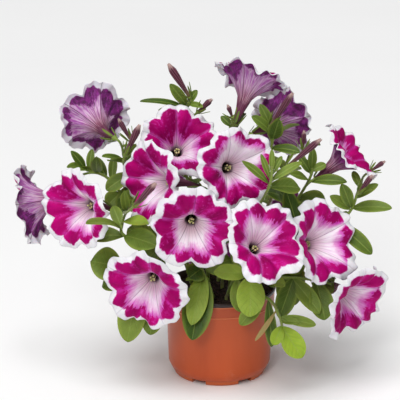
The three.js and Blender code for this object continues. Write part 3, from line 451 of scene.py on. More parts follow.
class Paint:
    """One material and its nodes."""

    def __init__(self, name, **sockets):
        self.material = bpy.data.materials.new(name)
        self.material.use_nodes = True
        self.tree = self.material.node_tree
        self.shader = self.tree.nodes["Principled BSDF"]
        self.put(self.shader, sockets)

    def put(self, node, sockets):
        for key, value in sockets.items():
            socket = node.inputs[key.replace("_", " ") if isinstance(key, str) else key]
            value = value.socket if isinstance(value, Value) else value
            if isinstance(value, bpy.types.NodeSocket):
                self.tree.links.new(value, socket)
            elif isinstance(value, str):
                socket.default_value = linear(value)
            else:
                socket.default_value = value

    def node(self, kind, settings=None, sockets=None):
        """A node of that type: its settings first, then the values or links of its sockets."""
        made = self.tree.nodes.new("ShaderNode" + kind)
        for key, value in (settings or {}).items():
            setattr(made, key, value)
        self.put(made, sockets or {})
        return made

    def math(self, operation, *values):
        made = self.node("Math", {"operation": operation}, dict(enumerate(values)))
        return Value(self, made.outputs[0])

    def rise(self, value, low, high):
        """0 below low, 1 above high, smooth between."""
        settings = {"interpolation_type": "SMOOTHSTEP"}
        sockets = {"Value": value, "From Min": low, "From Max": high}
        return Value(self, self.node("MapRange", settings, sockets).outputs["Result"])

    def mix(self, factor, first, second, blend="MIX"):
        settings = {"data_type": "RGBA", "blend_type": blend}
        return self.node("Mix", settings, {0: factor, 6: first, 7: second}).outputs[2]

    def tint(self, first, second, value, low, high, share=1.0):
        """first where the value is below low, a share of second where it is above high."""
        return self.mix(self.rise(value, low, high) * share, first, second)

    def map(self, name):
        """The two numbers of one of the piece's own maps."""
        where = self.node("UVMap", {"uv_map": name}).outputs["UV"]
        both = self.node("SeparateXYZ", sockets={0: where})
        return Value(self, both.outputs[0]), Value(self, both.outputs[1])

    def vector(self, x, y, z):
        return self.node("CombineXYZ", sockets={0: x, 1: y, 2: z}).outputs[0]

    def place(self):
        """Place in the part's frame, in metres."""
        return self.node("TexCoord").outputs["Object"]

    def noise(self, vector, scale, detail=2.0, roughness=0.5):
        sockets = {"Vector": vector, "Scale": scale, "Detail": detail, "Roughness": roughness}
        return Value(self, self.node("TexNoise", sockets=sockets).outputs[0])

    def finish(self, colour, rough, relief, distance, strength):
        """The material, with a relief of that depth in metres and that strength."""
        sockets = {"Height": relief, "Distance": distance, "Strength": strength}
        normal = self.node("Bump", sockets=sockets).outputs[0]
        self.put(self.shader, {"Base Color": colour, "Roughness": rough, "Normal": normal})
        return self.material


# ---- petals ----
def petal_fields(name, specular, scatter, seed, inner, lean, arms):
    """A petal's material, and the shares of its zones by its map: u turns round the bloom, v
    runs from the foot of the tube (0) over the throat (THROAT) to the edge (1)."""
    paint = Paint(name, Specular_IOR_Level=specular, Subsurface_Weight=scatter)
    paint.put(paint.shader, {"Subsurface Scale": 0.002})
    u, v = paint.map("surface")
    turn = u * (2 * math.pi)
    s = (v - THROAT) / (1 - THROAT)
    around = turn.math("COSINE"), turn.math("SINE")
    rib = (turn * 5).math("COSINE")
    wander = paint.vector(around[0] + seed, around[1], s * 0.9)
    flat = paint.vector(around[0] * s + seed, around[1] * s, seed)
    streak = paint.noise(paint.vector(around[0], around[1], s * 0.25 + seed), 14.0, 3.0, 0.65)
    wide = paint.noise(wander, 1.7, 1.0)
    sway = paint.noise(paint.vector(around[0] + seed, around[1] - seed, 1.3), 1.3, 1.0)
    scallop = abs((turn * 5 + (sway - 0.5) * 2.6).math("SINE"))
    blotch = paint.noise(flat, 8.0, 4.0, 0.7)
    radius = s * 34 + MOUTH
    rib_distance = abs((turn * 2.5).math("SINE")) * 0.4 * radius
    arm = 1 - paint.rise(rib_distance + (blotch - 0.5) * 7, 0.3, 4.6)
    tilt = (turn - lean).math("COSINE")
    low = inner + rib * 0.06 - tilt * 0.2 + (streak - 0.5) * 0.4 + (wide - 0.5) * 0.3
    low = low + (blotch - 0.5) * 0.4 + arm * arms
    tooth = paint.noise(paint.vector(around[0] * 1.6 + seed, around[1] * 1.6, seed), 2.2, 1.0)
    high = 0.7 + (scallop ** 0.65) * (tooth * 0.34 - 0.02) + (blotch - 0.5) * 0.16
    high = high + (sway - 0.5) * 0.22
    inside = paint.rise(s - low, -0.03, 0.05)
    outside = paint.rise(high - s, -0.014, 0.016)
    halo = paint.rise(s - low, -0.3, 0.0)
    fringe = paint.rise(high - s, -0.04, 0.0)
    rib_line = 1 - paint.rise(rib_distance, 0.1, 0.55)
    fan = abs((turn * 12.5 + (wide - 0.5) * 3).math("SINE")) * 0.08 * radius
    fan_line = 1 - paint.rise(fan, 0.05, 0.4)
    return paint, SimpleNamespace(
        s=s, v=v, streak=streak, blotch=blotch, wide=wide, around=around, inside=inside,
        outside=outside, halo=halo, fringe=fringe, scallop=scallop, rib_distance=rib_distance,
        rib_line=rib_line, fan_line=fan_line, patch=sway,
        fine=paint.noise(paint.place(), 900.0, 3.0, 0.6),
    )


def petal_face(name, blush, *pattern):
    """Velvety magenta with a white edge and a pale star round a dark-veined throat; deep in the
    tube the lining is painted near-black as shade.
    """
    paint, f = petal_fields(name, 0.06, 0.05, *pattern)
    velvet = paint.tint("#8C0052", "#B4006E", f.wide, 0.3, 0.7)
    velvet = paint.tint(velvet, "#66003A", f.blotch, 0.5, 0.8, 0.45)
    velvet = paint.tint(velvet, "#D42AA0", f.streak, 0.56, 0.75, 0.35)
    between = (1 - paint.rise(f.scallop, 0.1, 0.65)) * (1 - paint.rise(f.s, 0.62, 0.8))
    velvet = paint.mix(between * paint.rise(f.blotch, 0.4, 0.6) * 0.6, velvet, "#CE3AAC")
    velvet = paint.tint(velvet, "#80004A", f.scallop, 0.6, 1.0, 0.3)
    freckles = paint.rise(paint.noise(paint.place(), 330.0, 3.0), 0.54, 0.68)
    freckles = freckles * paint.rise(f.patch, 0.52, 0.66)
    velvet = paint.mix(freckles * 0.5, velvet, "#CE3CA8")
    rib_haze = (1 - paint.rise(f.rib_distance, 0.3, 2.6)) * paint.rise(f.streak, 0.3, 0.6)
    velvet = paint.mix(rib_haze * 0.55, velvet, "#CF62BC")
    throat = paint.tint("#DDC9CF", "#F1EAEF", f.s, 0.02, 0.25)
    throat = paint.tint(throat, "#D98FD2", f.streak, 0.35, 0.7, blush)
    star = paint.mix(f.halo * (0.4 + f.blotch), throat, "#C840B0")
    white = paint.mix(f.wide, "#DAD8DE", "#E9E7EA")
    white = paint.tint(white, "#CDBFD0", f.streak, 0.52, 0.75, 0.45)
    rim = paint.mix(f.fringe * 0.8, white, "#CF62BE")
    colour = paint.mix(f.inside, star, velvet)
    colour = paint.mix(f.outside, rim, colour)
    lines = f.rib_line * (1 - paint.rise(f.s, 0.5, 1.0) * 0.75)
    colour = paint.mix(lines * 0.5, colour, "#5A1D4E")
    near = 1 - paint.rise(f.s, 0.1, 0.45)
    colour = paint.mix(f.fan_line * (near * 0.22 + 0.05), colour, "#6B2A5C")
    # painted shade: the lining deep inside the tube turns near-black
    colour = paint.tint("#3A2426", colour, f.v, 0.24, 0.39)
    crease = paint.noise(paint.vector(*f.around, f.s * 0.3), 26.0, 3.0, 0.6)
    relief = crease * 0.6 + f.fine * 0.2 - f.rib_line * 0.5 - f.fan_line * 0.25
    return paint.finish(colour, 0.56 + f.fine * 0.12, relief, 0.0006, 0.6)


def petal_back(name, *pattern):
    """Dull lilac and violet, veined with maroon down the tube."""
    paint, f = petal_fields(name, 0.12, 0.08, *pattern)
    violet = paint.tint("#4E0848", "#7E1C78", f.blotch, 0.4, 0.62)
    violet = paint.tint(violet, "#AE5AB2", f.streak, 0.5, 0.75, 0.6)
    lilac = paint.tint("#DEC4DA", "#A65AA4", f.streak, 0.32, 0.66)
    edge = paint.mix(f.fringe * 0.7, "#DEDBE4", "#BC84BE")
    middle = paint.rise(f.s, 0.12, 0.5)
    colour = paint.mix(f.inside * 0.95, lilac, violet)
    colour = paint.mix((1 - f.inside) * middle * f.blotch * 0.7, colour, "#7E2A80")
    colour = paint.mix(f.outside, edge, colour)
    tube_streak = paint.noise(paint.vector(*f.around, f.v * 0.5), 9.0, 2.0)
    tube_colour = paint.tint("#BC93A2", "#7C3B55", tube_streak, 0.35, 0.62)
    tube_colour = paint.tint("#A39863", tube_colour, f.v, 0.0, 0.12)
    colour = paint.tint(tube_colour, colour, f.v, 0.32, 0.6)
    lines = f.rib_line * 0.75 + f.fan_line * (1 - paint.rise(f.v, 0.35, 0.7)) * 0.6
    colour = paint.mix(lines.math("MINIMUM", 0.8), colour, "#521A3A")
    relief = f.rib_line * 0.8 + f.fan_line * 0.4 + f.fine * 0.3
    return paint.finish(colour, 0.6 + f.fine * 0.1, relief, 0.0005, 0.7)


def bloom_frame(bloom):
    """Middle and directions of a bloom, and how far the foot of its tube is bent away."""
    out = facing(bloom.turn, bloom.lift)
    upward = unit(np.array([0, 0, 1]) - out * out[2])
    first = turned(upward, np.cross(out, upward), math.radians(bloom.roll))
    centre = at(bloom.place)
    bend = at(bloom.foot) - (centre - out * BLOOM_LENGTH) if bloom.foot else np.zeros(3)
    return SimpleNamespace(
        out=out, first=first, second=np.cross(out, first), centre=centre, bend=bend
    )


def bloom_axis(f, depth):
    """Centre line of the corolla: depth 0 is the mouth, BLOOM_LENGTH the foot of the tube."""
    depth = np.asarray(depth, float)[..., None]
    beyond = np.maximum(depth - TUBE_DEPTH, 0) / (BLOOM_LENGTH - TUBE_DEPTH)
    return f.centre - f.out * depth + f.bend * beyond**2


def ruffling(bloom, angle):
    """1 where the edge may ruffle freely, 0 where another bloom lies close."""
    share = np.ones_like(angle)
    for close in CLOSE_BY.get(bloom.name, ()):
        apart = np.angle(np.exp(1j * (angle - close)))
        share *= 1 - np.exp(-((apart / 0.3) ** 2))
    return share


def bloom_skin(bloom, f, angle, v):
    """Outer skin of the corolla, with the ruffles and pleats of its limb."""
    tube_part = np.clip(v / THROAT, 0, 1)
    s = np.clip((v - THROAT) / (1 - THROAT), 0, 1)
    notch = np.abs(np.sin(2.5 * angle)) ** 6
    seed = bloom.radius + bloom.turn + 3 * bloom.roll
    lobes = 0.015 * np.cos(5 * angle) + 0.03 * np.sin(2 * angle + 1.3 * seed)
    lobes += 0.03 * np.sin(4 * angle + seed)
    reach = s * (1 + s * s * (lobes - 0.13 * notch))
    wave = 0.045 * np.cos(5 * angle + 0.6) + 0.055 * np.sin(2 * angle + seed)
    wave += 0.055 * np.sin(3 * angle + 1.7 * seed) + 0.04 * np.sin(7 * angle + 2.3 * seed)
    limb = TUBE_DEPTH * (1 - s) ** 2.1 + 3 * s**5 - bloom.radius * wave * s * s
    frill = np.sin(14 * angle + seed) * (0.6 + 0.4 * np.sin(3 * angle + 2 * seed))
    frill += 0.7 * np.sin(21 * angle + 1.9 * seed) * (0.5 + 0.5 * np.sin(4 * angle + seed))
    rib = np.abs(np.sin(2.5 * angle))
    pleat = 1.3 * np.exp(-((rib / 0.14) ** 2)) - 3.1 * np.sin(5 * angle) ** 2
    free = ruffling(bloom, angle)
    limb += free * (pleat * np.sin(math.pi * np.clip(s, 0, 1)) ** 1.3 - 2.8 * frill * s**3.6)
    edge = 0.45 * np.sin(19 * angle + 2 * seed) + 0.35 * np.sin(31 * angle + seed)
    scallop = np.abs(np.sin(5 * angle + 0.35 * np.sin(2 * angle + seed))) ** 0.8 - 0.68
    edge += scallop * (2.6 + 0.9 * np.sin(3 * angle + seed))
    fluted = 0.16 * np.cos(5 * angle) * np.sin(math.pi * tube_part) ** 2
    radius = np.where(
        v < THROAT,
        TUBE_FOOT + (MOUTH - TUBE_FOOT) * tube_part**1.4 + fluted,
        MOUTH + (bloom.radius - MOUTH) * reach + (edge * free - 1.2 * (1 - free)) * s**6,
    )
    depth = np.where(v < THROAT, BLOOM_LENGTH - (BLOOM_LENGTH - TUBE_DEPTH) * tube_part, limb)
    return bloom_axis(f, depth) + turned(f.first, f.second, angle) * radius[:, None]


def bloom_lining(bloom, f, angle, v):
    """Inner skin, a petal's thickness in front of the outer one."""
    step = 0.004
    here = bloom_skin(bloom, f, angle, v)
    round_ = bloom_skin(bloom, f, angle + step, v) - bloom_skin(bloom, f, angle - step, v)
    high = bloom_skin(bloom, f, angle, np.minimum(v + step, 1))
    low = bloom_skin(bloom, f, angle, v - step)
    inward = unit(np.cross(round_, high - low))
    thick = 0.5 - 0.2 * np.clip((v - THROAT) / (1 - THROAT), 0, 1)
    return here - inward * thick[:, None]


TUBE_ROWS, LIMB_ROWS, LINING_ROWS, BLOOM_COLUMNS = 9, 30, 8, 140
SKIN_V = np.concatenate(
    [[0, 0], np.linspace(0, THROAT, TUBE_ROWS)[1:], np.linspace(THROAT, 1, LIMB_ROWS)[1:]]
)
LINING_V = np.concatenate(
    [np.linspace(1, THROAT, LIMB_ROWS), np.linspace(THROAT, 0.06, LINING_ROWS)[1:], [0.06]]
)


def bloom_parts(bloom):
    """The corolla as one closed shell, and the stamens in its throat."""
    f = bloom_frame(bloom)
    ladder = np.concatenate([SKIN_V, LINING_V])
    rows = len(ladder) - 1

    def place(u, v):
        row = np.round(v * rows).astype(int)
        angle, along = u * 2 * math.pi, ladder[row]
        skin = bloom_skin(bloom, f, angle, along)
        lining = bloom_lining(bloom, f, angle, along)
        result = np.where((row < len(SKIN_V))[:, None], skin, lining)
        result[row == 0] = bloom_axis(f, BLOOM_LENGTH)
        result[row == rows] = bloom_axis(f, BLOOM_LENGTH - 6)
        return result

    def chart(u, v):
        return u, ladder[np.round(v * rows).astype(int)]

    edge_row = (len(SKIN_V) - 0.9) / rows
    return [grid(BLOOM_COLUMNS, rows, place, chart, lambda v: BACK if v < edge_row else FACE)]


def stamens(bloom):
    """The stamens and a style, their tips just inside the throat."""
    f = bloom_frame(bloom)
    random = seeded(1000 + int(bloom.radius * 7 + bloom.turn + 200))
    parts = []
    for k in range(STAMENS + 1):
        stamen = k < STAMENS
        angle = 2 * math.pi * (k + 0.3 * random()) / STAMENS
        radius = 1.9 + 0.7 * random() if stamen else 0.3
        top = TUBE_DEPTH - 0.5 + 3 * random() if stamen else TUBE_DEPTH - 1
        aside = turned(f.first, f.second, angle)
        depths = np.linspace(BLOOM_LENGTH - 12, top, 7)
        spread = radius * np.linspace(0.25, 1, 7) ** 0.8
        line = bloom_axis(f, depths) + aside * spread[:, None]
        parts.append(tube(line, np.full(7, 0.26), 5, kind=FILAMENT))
        head = line[-1] + f.out * 0.2
        long = 1.15 if stamen else 0.8
        across = unit(np.cross(f.out, aside + 0.3 * f.first))
        span = np.linspace(-1, 1, 7)[:, None]
        width = 0.85 * np.sqrt(np.clip(1 - np.linspace(-0.97, 0.97, 7) ** 2, 0, 1)) + 0.05
        kind = ANTHER if stamen else STIGMA
        parts.append(tube(head + across * long * span, width, 8, kind=kind))
    return parts


# ---- furled buds ----
def bud_frame(bud):
    """Ends, directions and length of a bud."""
    foot, tip = at(bud.foot), at(bud.tip)
    out = unit(tip - foot)
    first = unit(np.cross(out, [0.3, 0.8, 0.52]))
    return SimpleNamespace(
        foot=foot, tip=tip, out=out, first=first, second=np.cross(out, first),
        length=np.linalg.norm(tip - foot),
    )


def bud_parts(bud):
    """Twisted spindle with ten folds, ragged at its tip."""
    f = bud_frame(bud)
    rows = 44

    def place(u, v):
        angle = u * 2 * math.pi
        t = np.clip((v * rows - 1) / (rows - 2), 0, 1)
        swell = 0.52 + 0.48 * np.sin(math.pi * np.minimum(t / 0.8, 1) * 0.5) ** 2
        close = 1 - 0.62 * (np.maximum(t - 0.8, 0) / 0.2) ** 1.5
        twist = 0.08 * t * np.cos(3 * angle + 3 * t)
        fold = 0.07 * ease(t, 0.1, 0.5) * np.cos(10 * angle + 7 * t)
        radius = bud.radius * swell * close * (1 + twist + fold)
        radius = np.where(at_pole(v), 0, radius)
        ragged = 0.9 * ease(t, 0.93, 1) * (1 + np.sin(5 * angle) + 0.5 * np.sin(9 * angle))
        up = f.foot + f.out * (f.length * t + ragged)[:, None]
        up = np.where((v > 1 - 1e-4)[:, None], f.tip - f.out * 0.6, up)
        return up + turned(f.first, f.second, angle) * radius[:, None]

    return [grid(40, rows, place)]


def bud_petals(name):
    """Dull maroon, pale where the folded edges show at the tip."""
    paint = Paint(name, Specular_IOR_Level=0.3, Sheen_Weight=0.15)
    u, v = paint.map("surface")
    turn = u * (2 * math.pi)
    where = paint.vector(turn.math("COSINE"), turn.math("SINE"), v * 0.6)
    streak = paint.noise(where, 6.0, 3.0, 0.6)
    spiral = (turn * 10 + v * 7).math("COSINE")
    colour = paint.tint("#350E20", "#5E2238", streak, 0.35, 0.65)
    colour = paint.tint(colour, "#93606F", spiral, 0.3, 1.0, 0.55)
    colour = paint.tint(colour, "#B99A93", v + (streak - 0.5) * 0.25, 0.84, 0.98)
    colour = paint.tint("#7E6B4A", colour, v, 0.0, 0.3)
    return paint.finish(colour, 0.62 + streak * 0.1, streak + spiral * 0.3, 0.0004, 0.6)


# ---- leaves and stems ----
def leaf_part(leaf):
    """A soft blade: sunken midrib, raised between its side veins, thin at the edge."""
    along = leaf.tip - leaf.foot
    length = np.linalg.norm(along)
    forward = along / length
    face = math.radians(leaf.face)
    side = unit(np.cross(forward, [0, -math.cos(face), math.sin(face)]))
    normal = np.cross(side, forward)
    columns, rows = (28, 30) if leaf.width > 14 else (20, 20)

    def place(u, v):
        p = np.clip(0.5 - 0.5 * np.cos(math.pi * v), 0, 1)
        theta = 2 * math.pi * u
        q = -np.cos(theta)
        half = leaf.width * 0.5 * 2.65 * p**0.8 * (1 - p) ** 0.62
        half = np.maximum(half, np.where(p < 0.3, 0.9 * ease(p, -0.05, 0.04), 0))
        half = np.where(at_pole(v), 0, half)
        arch = length * LEAF_ARCH * 4 * p * (1 - p)
        fold = 0.22 * half * np.abs(q)
        wave = 0.05 * leaf.width * q * np.sin(7 * p + leaf.face + leaf.width)
        veins = np.cos(2 * math.pi * (7 * p - 2.2 * np.abs(q)))
        quilt = -0.017 * leaf.width * veins * ease(np.abs(q), 0.05, 0.3) * ease(p, 0.05, 0.2)
        quilt *= 1 - ease(np.abs(q), 0.8, 1)
        rib = -0.35 * np.exp(-((q * half / 0.9) ** 2)) * ease(half, 0.8, 2.5)
        thick = 0.5 * BLADE * np.sin(theta) * np.where(at_pole(v), 0, 0.85)
        rise = arch + fold + wave + quilt + rib - BLADE / 2 + thick
        middle = leaf.foot + forward * (length * p)[:, None]
        return middle + side * (half * q)[:, None] + normal * rise[:, None]

    def chart(u, v):
        return -np.cos(2 * math.pi * u), 0.5 - 0.5 * np.cos(math.pi * v)

    sort = leaf.young, leaf.width / WIDEST_LEAF
    return grid(columns, rows, place, chart, lambda v: LEAF, sort)


def sepal(axis, f, middle, base, length):
    """One narrow sepal of the calyx, spreading from the cup."""
    away = turned(f.first, f.second, middle)
    across = turned(f.first, f.second, middle + math.pi / 2)

    def place(u, v):
        theta = 2 * math.pi * u
        half = 1.75 * (0.62 + 0.9 * v) * np.maximum(1 - v, 0) ** 0.6
        half = np.where(at_pole(v), 0, half)
        q = -np.cos(theta)
        thick = np.where(half > 0, 0.32, 0) * np.sin(theta)
        out = 2.75 + 5.1 * v**1.1 + 0.25 * np.abs(q) * half + thick + 0.3
        centre = axis(base + (length - base) * v)
        return centre + away * out[:, None] + across * (half * q)[:, None]

    def chart(u, v):
        return -np.cos(2 * math.pi * u), v

    return grid(12, 14, place, chart, lambda v: LEAF, (0.35, 0.1))


def stalk_and_calyx(start, heading, axis, f, length):
    """Flower stalk, cup and five sepals on the axis of a bloom or bud, and the stalk's line."""
    foot, beyond = axis(np.array([0.0, 1.0]))
    stretch = np.linalg.norm(beyond - foot)
    out = (beyond - foot) / stretch
    reach = np.linalg.norm(foot - start)
    neck = foot - out * 3.4
    t = np.linspace(0, 1, 13)[:, None]
    lead, arrive = start + heading * reach / 3, neck - out * reach / 3
    line = start * (1 - t) ** 3 + lead * 3 * t * (1 - t) ** 2
    line = line + arrive * 3 * t * t * (1 - t) + neck * t**3
    cup_d = np.array([-3.0, -2.2, -1.6, -0.9, -0.4]) / stretch
    radii = [STALK_RADIUS] * len(line) + [1.5, 2.2, 2.8, 3.05, 2.9]
    whole, end = np.concatenate([line, axis(cup_d)]), (f.first, f.second, len(cup_d))
    parts = [tube(whole, radii, 10, kind=STEM, sort=(0.3, 0), end=end)]
    for k in range(SEPALS):
        parts.append(sepal(axis, f, math.pi * (2 * k + 0.5) / SEPALS, -0.9 / stretch, length))
    return parts, line


def hairs(lines, random):
    """Short fine hairs that stand off stems, given as lines with their radii."""
    bm = bmesh.new()
    bm.loops.layers.uv.new("surface")
    bm.loops.layers.uv.new("sort")
    for line, radius in lines:
        steps = np.linalg.norm(np.diff(line, axis=0), axis=1)
        for _ in range(int(steps.sum() * HAIRS_PER_MM)):
            t = random() * (len(line) - 1.001)
            i = int(t)
            along = unit(line[i + 1] - line[i])
            side = unit(np.cross(along, [random() - 0.5, random() - 0.5, random() - 0.5]))
            size = 0.8 + 0.9 * random()
            base = line[i] + (line[i + 1] - line[i]) * (t - i) + side * (radius - 0.1)
            way = unit(side + along * (random() - 0.3) * 0.6)
            turn = Vector((0, 0, 1)).rotation_difference(Vector(way)).to_matrix().to_4x4()
            place = Matrix.Translation(Vector((base + way * size / 2) * MM)) @ turn
            bmesh.ops.create_cone(
                bm, cap_ends=True, segments=3, radius1=0.085 * MM, radius2=0.012 * MM,
                depth=size * MM, matrix=place,
            )
    for face in bm.faces:
        face.material_index = HAIR
    return bm


def shoot_line(shoot):
    """The part's own centre line of a shoot, from the soil to the growing tip, and its curve."""
    angle, distance = shoot.hole
    x = distance * math.cos(math.radians(angle))
    y = distance * math.sin(math.radians(angle))
    line = [np.array([x, y, SOIL_TOP + 3])] + [at(place) for place in shoot.path]
    count = max(5, math.floor(len(line) * 1.15 + 0.5))
    return curve_points(line, count), curve_points(line, 12 * len(line)), np.array([x, y])


def nearest_on(line, point):
    """Nearest point of a shoot's centre line."""
    found = [along_line(line, i / 80) for i in range(81)]
    return min(found, key=lambda p: np.linalg.norm(p - point))


def leaves_of(index, line):
    """The leaves that are listed for a shoot, then those that a rule puts on it."""
    random = seeded(77 + index)
    for leaf in LEAVES:
        if leaf.shoot == index:
            # painted shade: the further back a leaf's tip lies, the darker its tone; the rest is
            # random
            young = 0.05 + 0.45 * random() - 0.35 * leaf.tip[2] / 80
            yield SimpleNamespace(
                foot=nearest_on(line, at(leaf.foot)), tip=at(leaf.tip), width=leaf.width,
                face=leaf.face, young=young if leaf.tone is None else leaf.tone,
            )
    for shoot, count, short, long, seed, heading in FILLERS:
        if shoot != index:
            continue
        draw = seeded(seed * 7919 + 13)
        for k in range(count):
            start = along_line(line, 0.34 + 0.62 * (k + 0.5) / count)
            turn = math.radians(heading) + (1 if k % 2 else -1) * (0.2 + 1.1 * draw())
            rise = -0.3 + 0.8 * draw()
            length = short + (long - short) * draw()
            way = unit(np.array([math.cos(turn), math.sin(turn), rise]))
            yield SimpleNamespace(
                foot=start, tip=start + way * length, width=length * (0.5 + 0.12 * draw()),
                face=120, young=0.2 + 0.4 * random(),
            )


def leafy_stem_parts(index):
    """One stem with its leaves, flower stalks, calyces and hairs."""
    line, smooth, hole = shoot_line(SHOOTS[index])
    t = np.linspace(0, 1, len(smooth))
    buried = np.array([[*hole, HOLE_FLOOR + 1.5], [*hole, SOIL_TOP - 2]])
    knots = 1 + 0.12 * np.cos(t * 2 * math.pi * len(line) * 0.8) ** 8
    radii = STEM_RADIUS * (1 - 0.3 * t) * knots
    radii[-1] *= 0.6
    stem = np.concatenate([buried, smooth])
    parts = [tube(stem, [STEM_RADIUS, STEM_RADIUS, *radii], 12, kind=STEM, sort=(0.2, 0))]
    fuzzy = [(smooth, 1.45)]

    def add_stalk(place, axis, f, length):
        ahead = unit(along_line(line, place + 0.02) - along_line(line, place - 0.02))
        made, stalk = stalk_and_calyx(along_line(line, place), ahead, axis, f, length)
        parts.extend(made)
        fuzzy.append((stalk, STALK_RADIUS))

    for bloom in BLOOMS:
        if bloom.shoot == index:
            f = bloom_frame(bloom)
            add_stalk(
                bloom.start, lambda s, f=f: bloom_axis(f, BLOOM_LENGTH - s), f, SEPAL_LENGTH
            )
    for bud in BUDS:
        if bud.shoot == index:
            f = bud_frame(bud)
            length = min(BUD_SEPAL_LENGTH, f.length * 0.5)
            add_stalk(
                bud.start, lambda s, f=f: f.foot + np.multiply.outer(s, f.out), f, length
            )
    parts += [leaf_part(leaf) for leaf in leaves_of(index, line)]
    parts.append(hairs(fuzzy, seeded(500 + index)))
    return parts


def leaf_green(name):
    """Soft green blade with paler sunken veins; new leaves, and leaves given painted light, are
    lighter and yellower, and leaves given painted shade darker.
    """
    paint = Paint(name, Specular_IOR_Level=0.3, Subsurface_Weight=0.08)
    paint.put(paint.shader, {"Subsurface Scale": 0.002})
    q, p = paint.map("surface")
    young, width = paint.map("sort")
    mottle = paint.noise(paint.place(), 120.0, 3.0)
    fine = paint.noise(paint.place(), 1400.0, 2.0)
    # dark greens for older leaves and for painted shade, light greens for new leaves and for
    # painted light
    old_and_shaded = paint.mix(mottle, "#2A4208", "#426010")
    light = paint.mix(mottle, "#829C34", "#A4B650")
    colour = paint.mix(young, old_and_shaded, light)
    fresh = paint.mix(mottle, "#7FA218", "#A9C42C")
    colour = paint.tint(colour, fresh, young, 0.7, 1.1, 0.75)
    colour = paint.tint(colour, "#A98A5C", young, 1.2, 1.4)
    side = abs(q)
    colour = paint.mix((1 - paint.rise(p, 0.0, 0.4)) * 0.4, colour, "#33480F")
    rib = 1 - paint.rise(side * width * (WIDEST_LEAF / 2), 0.25, 0.75)
    phase = ((p * 7 - side * 2.2) * (2 * math.pi)).math("COSINE")
    veins = paint.rise(phase, 0.9, 1.0) * (1 - paint.rise(side, 0.75, 0.95))
    lines = rib * 0.45 + veins * (young * 0.2 + 0.1)
    colour = paint.mix(lines.math("MINIMUM", 0.8), colour, "#93A64C")
    colour = paint.tint(colour, "#98AC42", side, 0.6, 1.0, 0.4)
    relief = fine * 0.35 - veins * 0.5 + mottle * 0.3
    return paint.finish(colour, 0.42 + mottle * 0.16, relief, 0.0008, 0.7)


def stem_green(name):
    """Pale green, purplish in places."""
    paint = Paint(name, Specular_IOR_Level=0.35, Sheen_Weight=0.15)
    blush = paint.noise(paint.place(), 38.0, 2.0)
    fine = paint.noise(paint.place(), 900.0, 2.0)
    colour = paint.mix(fine, "#667A2A", "#82943E")
    colour = paint.tint(colour, "#7A5454", blush, 0.52, 0.72, 0.55)
    return paint.finish(colour, 0.55 + fine * 0.1, fine, 0.0003, 0.5)


def plain(name, first, second, scale, rough, bump=0.0002):
    """Two tones in small patches."""
    paint = Paint(name, Specular_IOR_Level=0.35)
    patch = paint.noise(paint.place(), scale, 3.0)
    return paint.finish(paint.mix(patch, first, second), rough + patch * 0.1, patch, bump, 0.5)


# ---- pot ----
# radius and height from the middle of the foot over the rolled lip to the middle of the floor
POT_SKIN = [
    (0, 0), (45.6, 0), (46.5, 0.5), (46.75, 2.4), (47, 4.2), (47.4, 4.7), (48.4, 4.9),
    (49.1, 5.3), (50.9, 9.2), (51.9, 11.4), (52.25, 12.6), (52.35, 14), (53.3, 44),
    (54.25, 72.4), (54.35, 73.8), (54.7, 74.5), (55.3, 75.0), (55.65, 75.6), (55.75, 76.4),
    (55.45, 76.8), (55.75, 77.2), (56.05, 86.0), (56.1, 87.0), (55.9, 87.3), (56.4, 87.6),
    (56.9, 88.3), (57.0, 90.2), (56.75, 91.3), (56.0, 91.8), (55.3, 91.6), (54.8, 90.8),
    (54.3, 86), (52.9, 72), (50.8, 13.2), (49.8, 11), (45.9, 2.4), (45.0, 1.7), (0, 1.6),
]


def lathe(columns, profile, bumps=None):
    """Turned surface through rows of radius and height, raised by bumps(row, x, y)."""
    profile = np.array(profile, float)
    rows = len(profile) - 1

    def place(u, v):
        row = np.round(v * rows).astype(int)
        turn = 2 * math.pi * u
        x, y = profile[row, 0] * np.cos(turn), profile[row, 0] * np.sin(turn)
        z = profile[row, 1] + (bumps(row, x, y) if bumps else 0)
        return np.stack([x, y, z], axis=1)

    return grid(columns, rows, place)


def slab(length, width, low, high, x, turn):
    """Box lying along a line from the middle of the pot."""
    bm = bmesh.new()
    bmesh.ops.create_cube(bm, size=1)
    bmesh.ops.scale(bm, vec=Vector((length, width, high - low)) * MM, verts=bm.verts)
    middle = Vector((x + length / 2, 0, (low + high) / 2)) * MM
    bmesh.ops.translate(bm, vec=middle, verts=bm.verts)
    spin = Matrix.Rotation(math.radians(turn), 3, "Z")
    bmesh.ops.rotate(bm, cent=Vector(), matrix=spin, verts=bm.verts)
    return bm


def cut(piece, parts, operation):
    """Cuts the parts out of a piece, or joins them to it, for good."""
    tool = linked("tool", mesh_of("tool", joined(parts)))
    step = piece.modifiers.new("cut", "BOOLEAN")
    step.operation, step.solver, step.object = operation, "EXACT", tool
    bpy.context.view_layer.update()
    made = bpy.data.meshes.new_from_object(
        piece.evaluated_get(bpy.context.evaluated_depsgraph_get())
    )
    piece.modifiers.remove(step)
    piece.data = made
    bpy.data.objects.remove(tool)


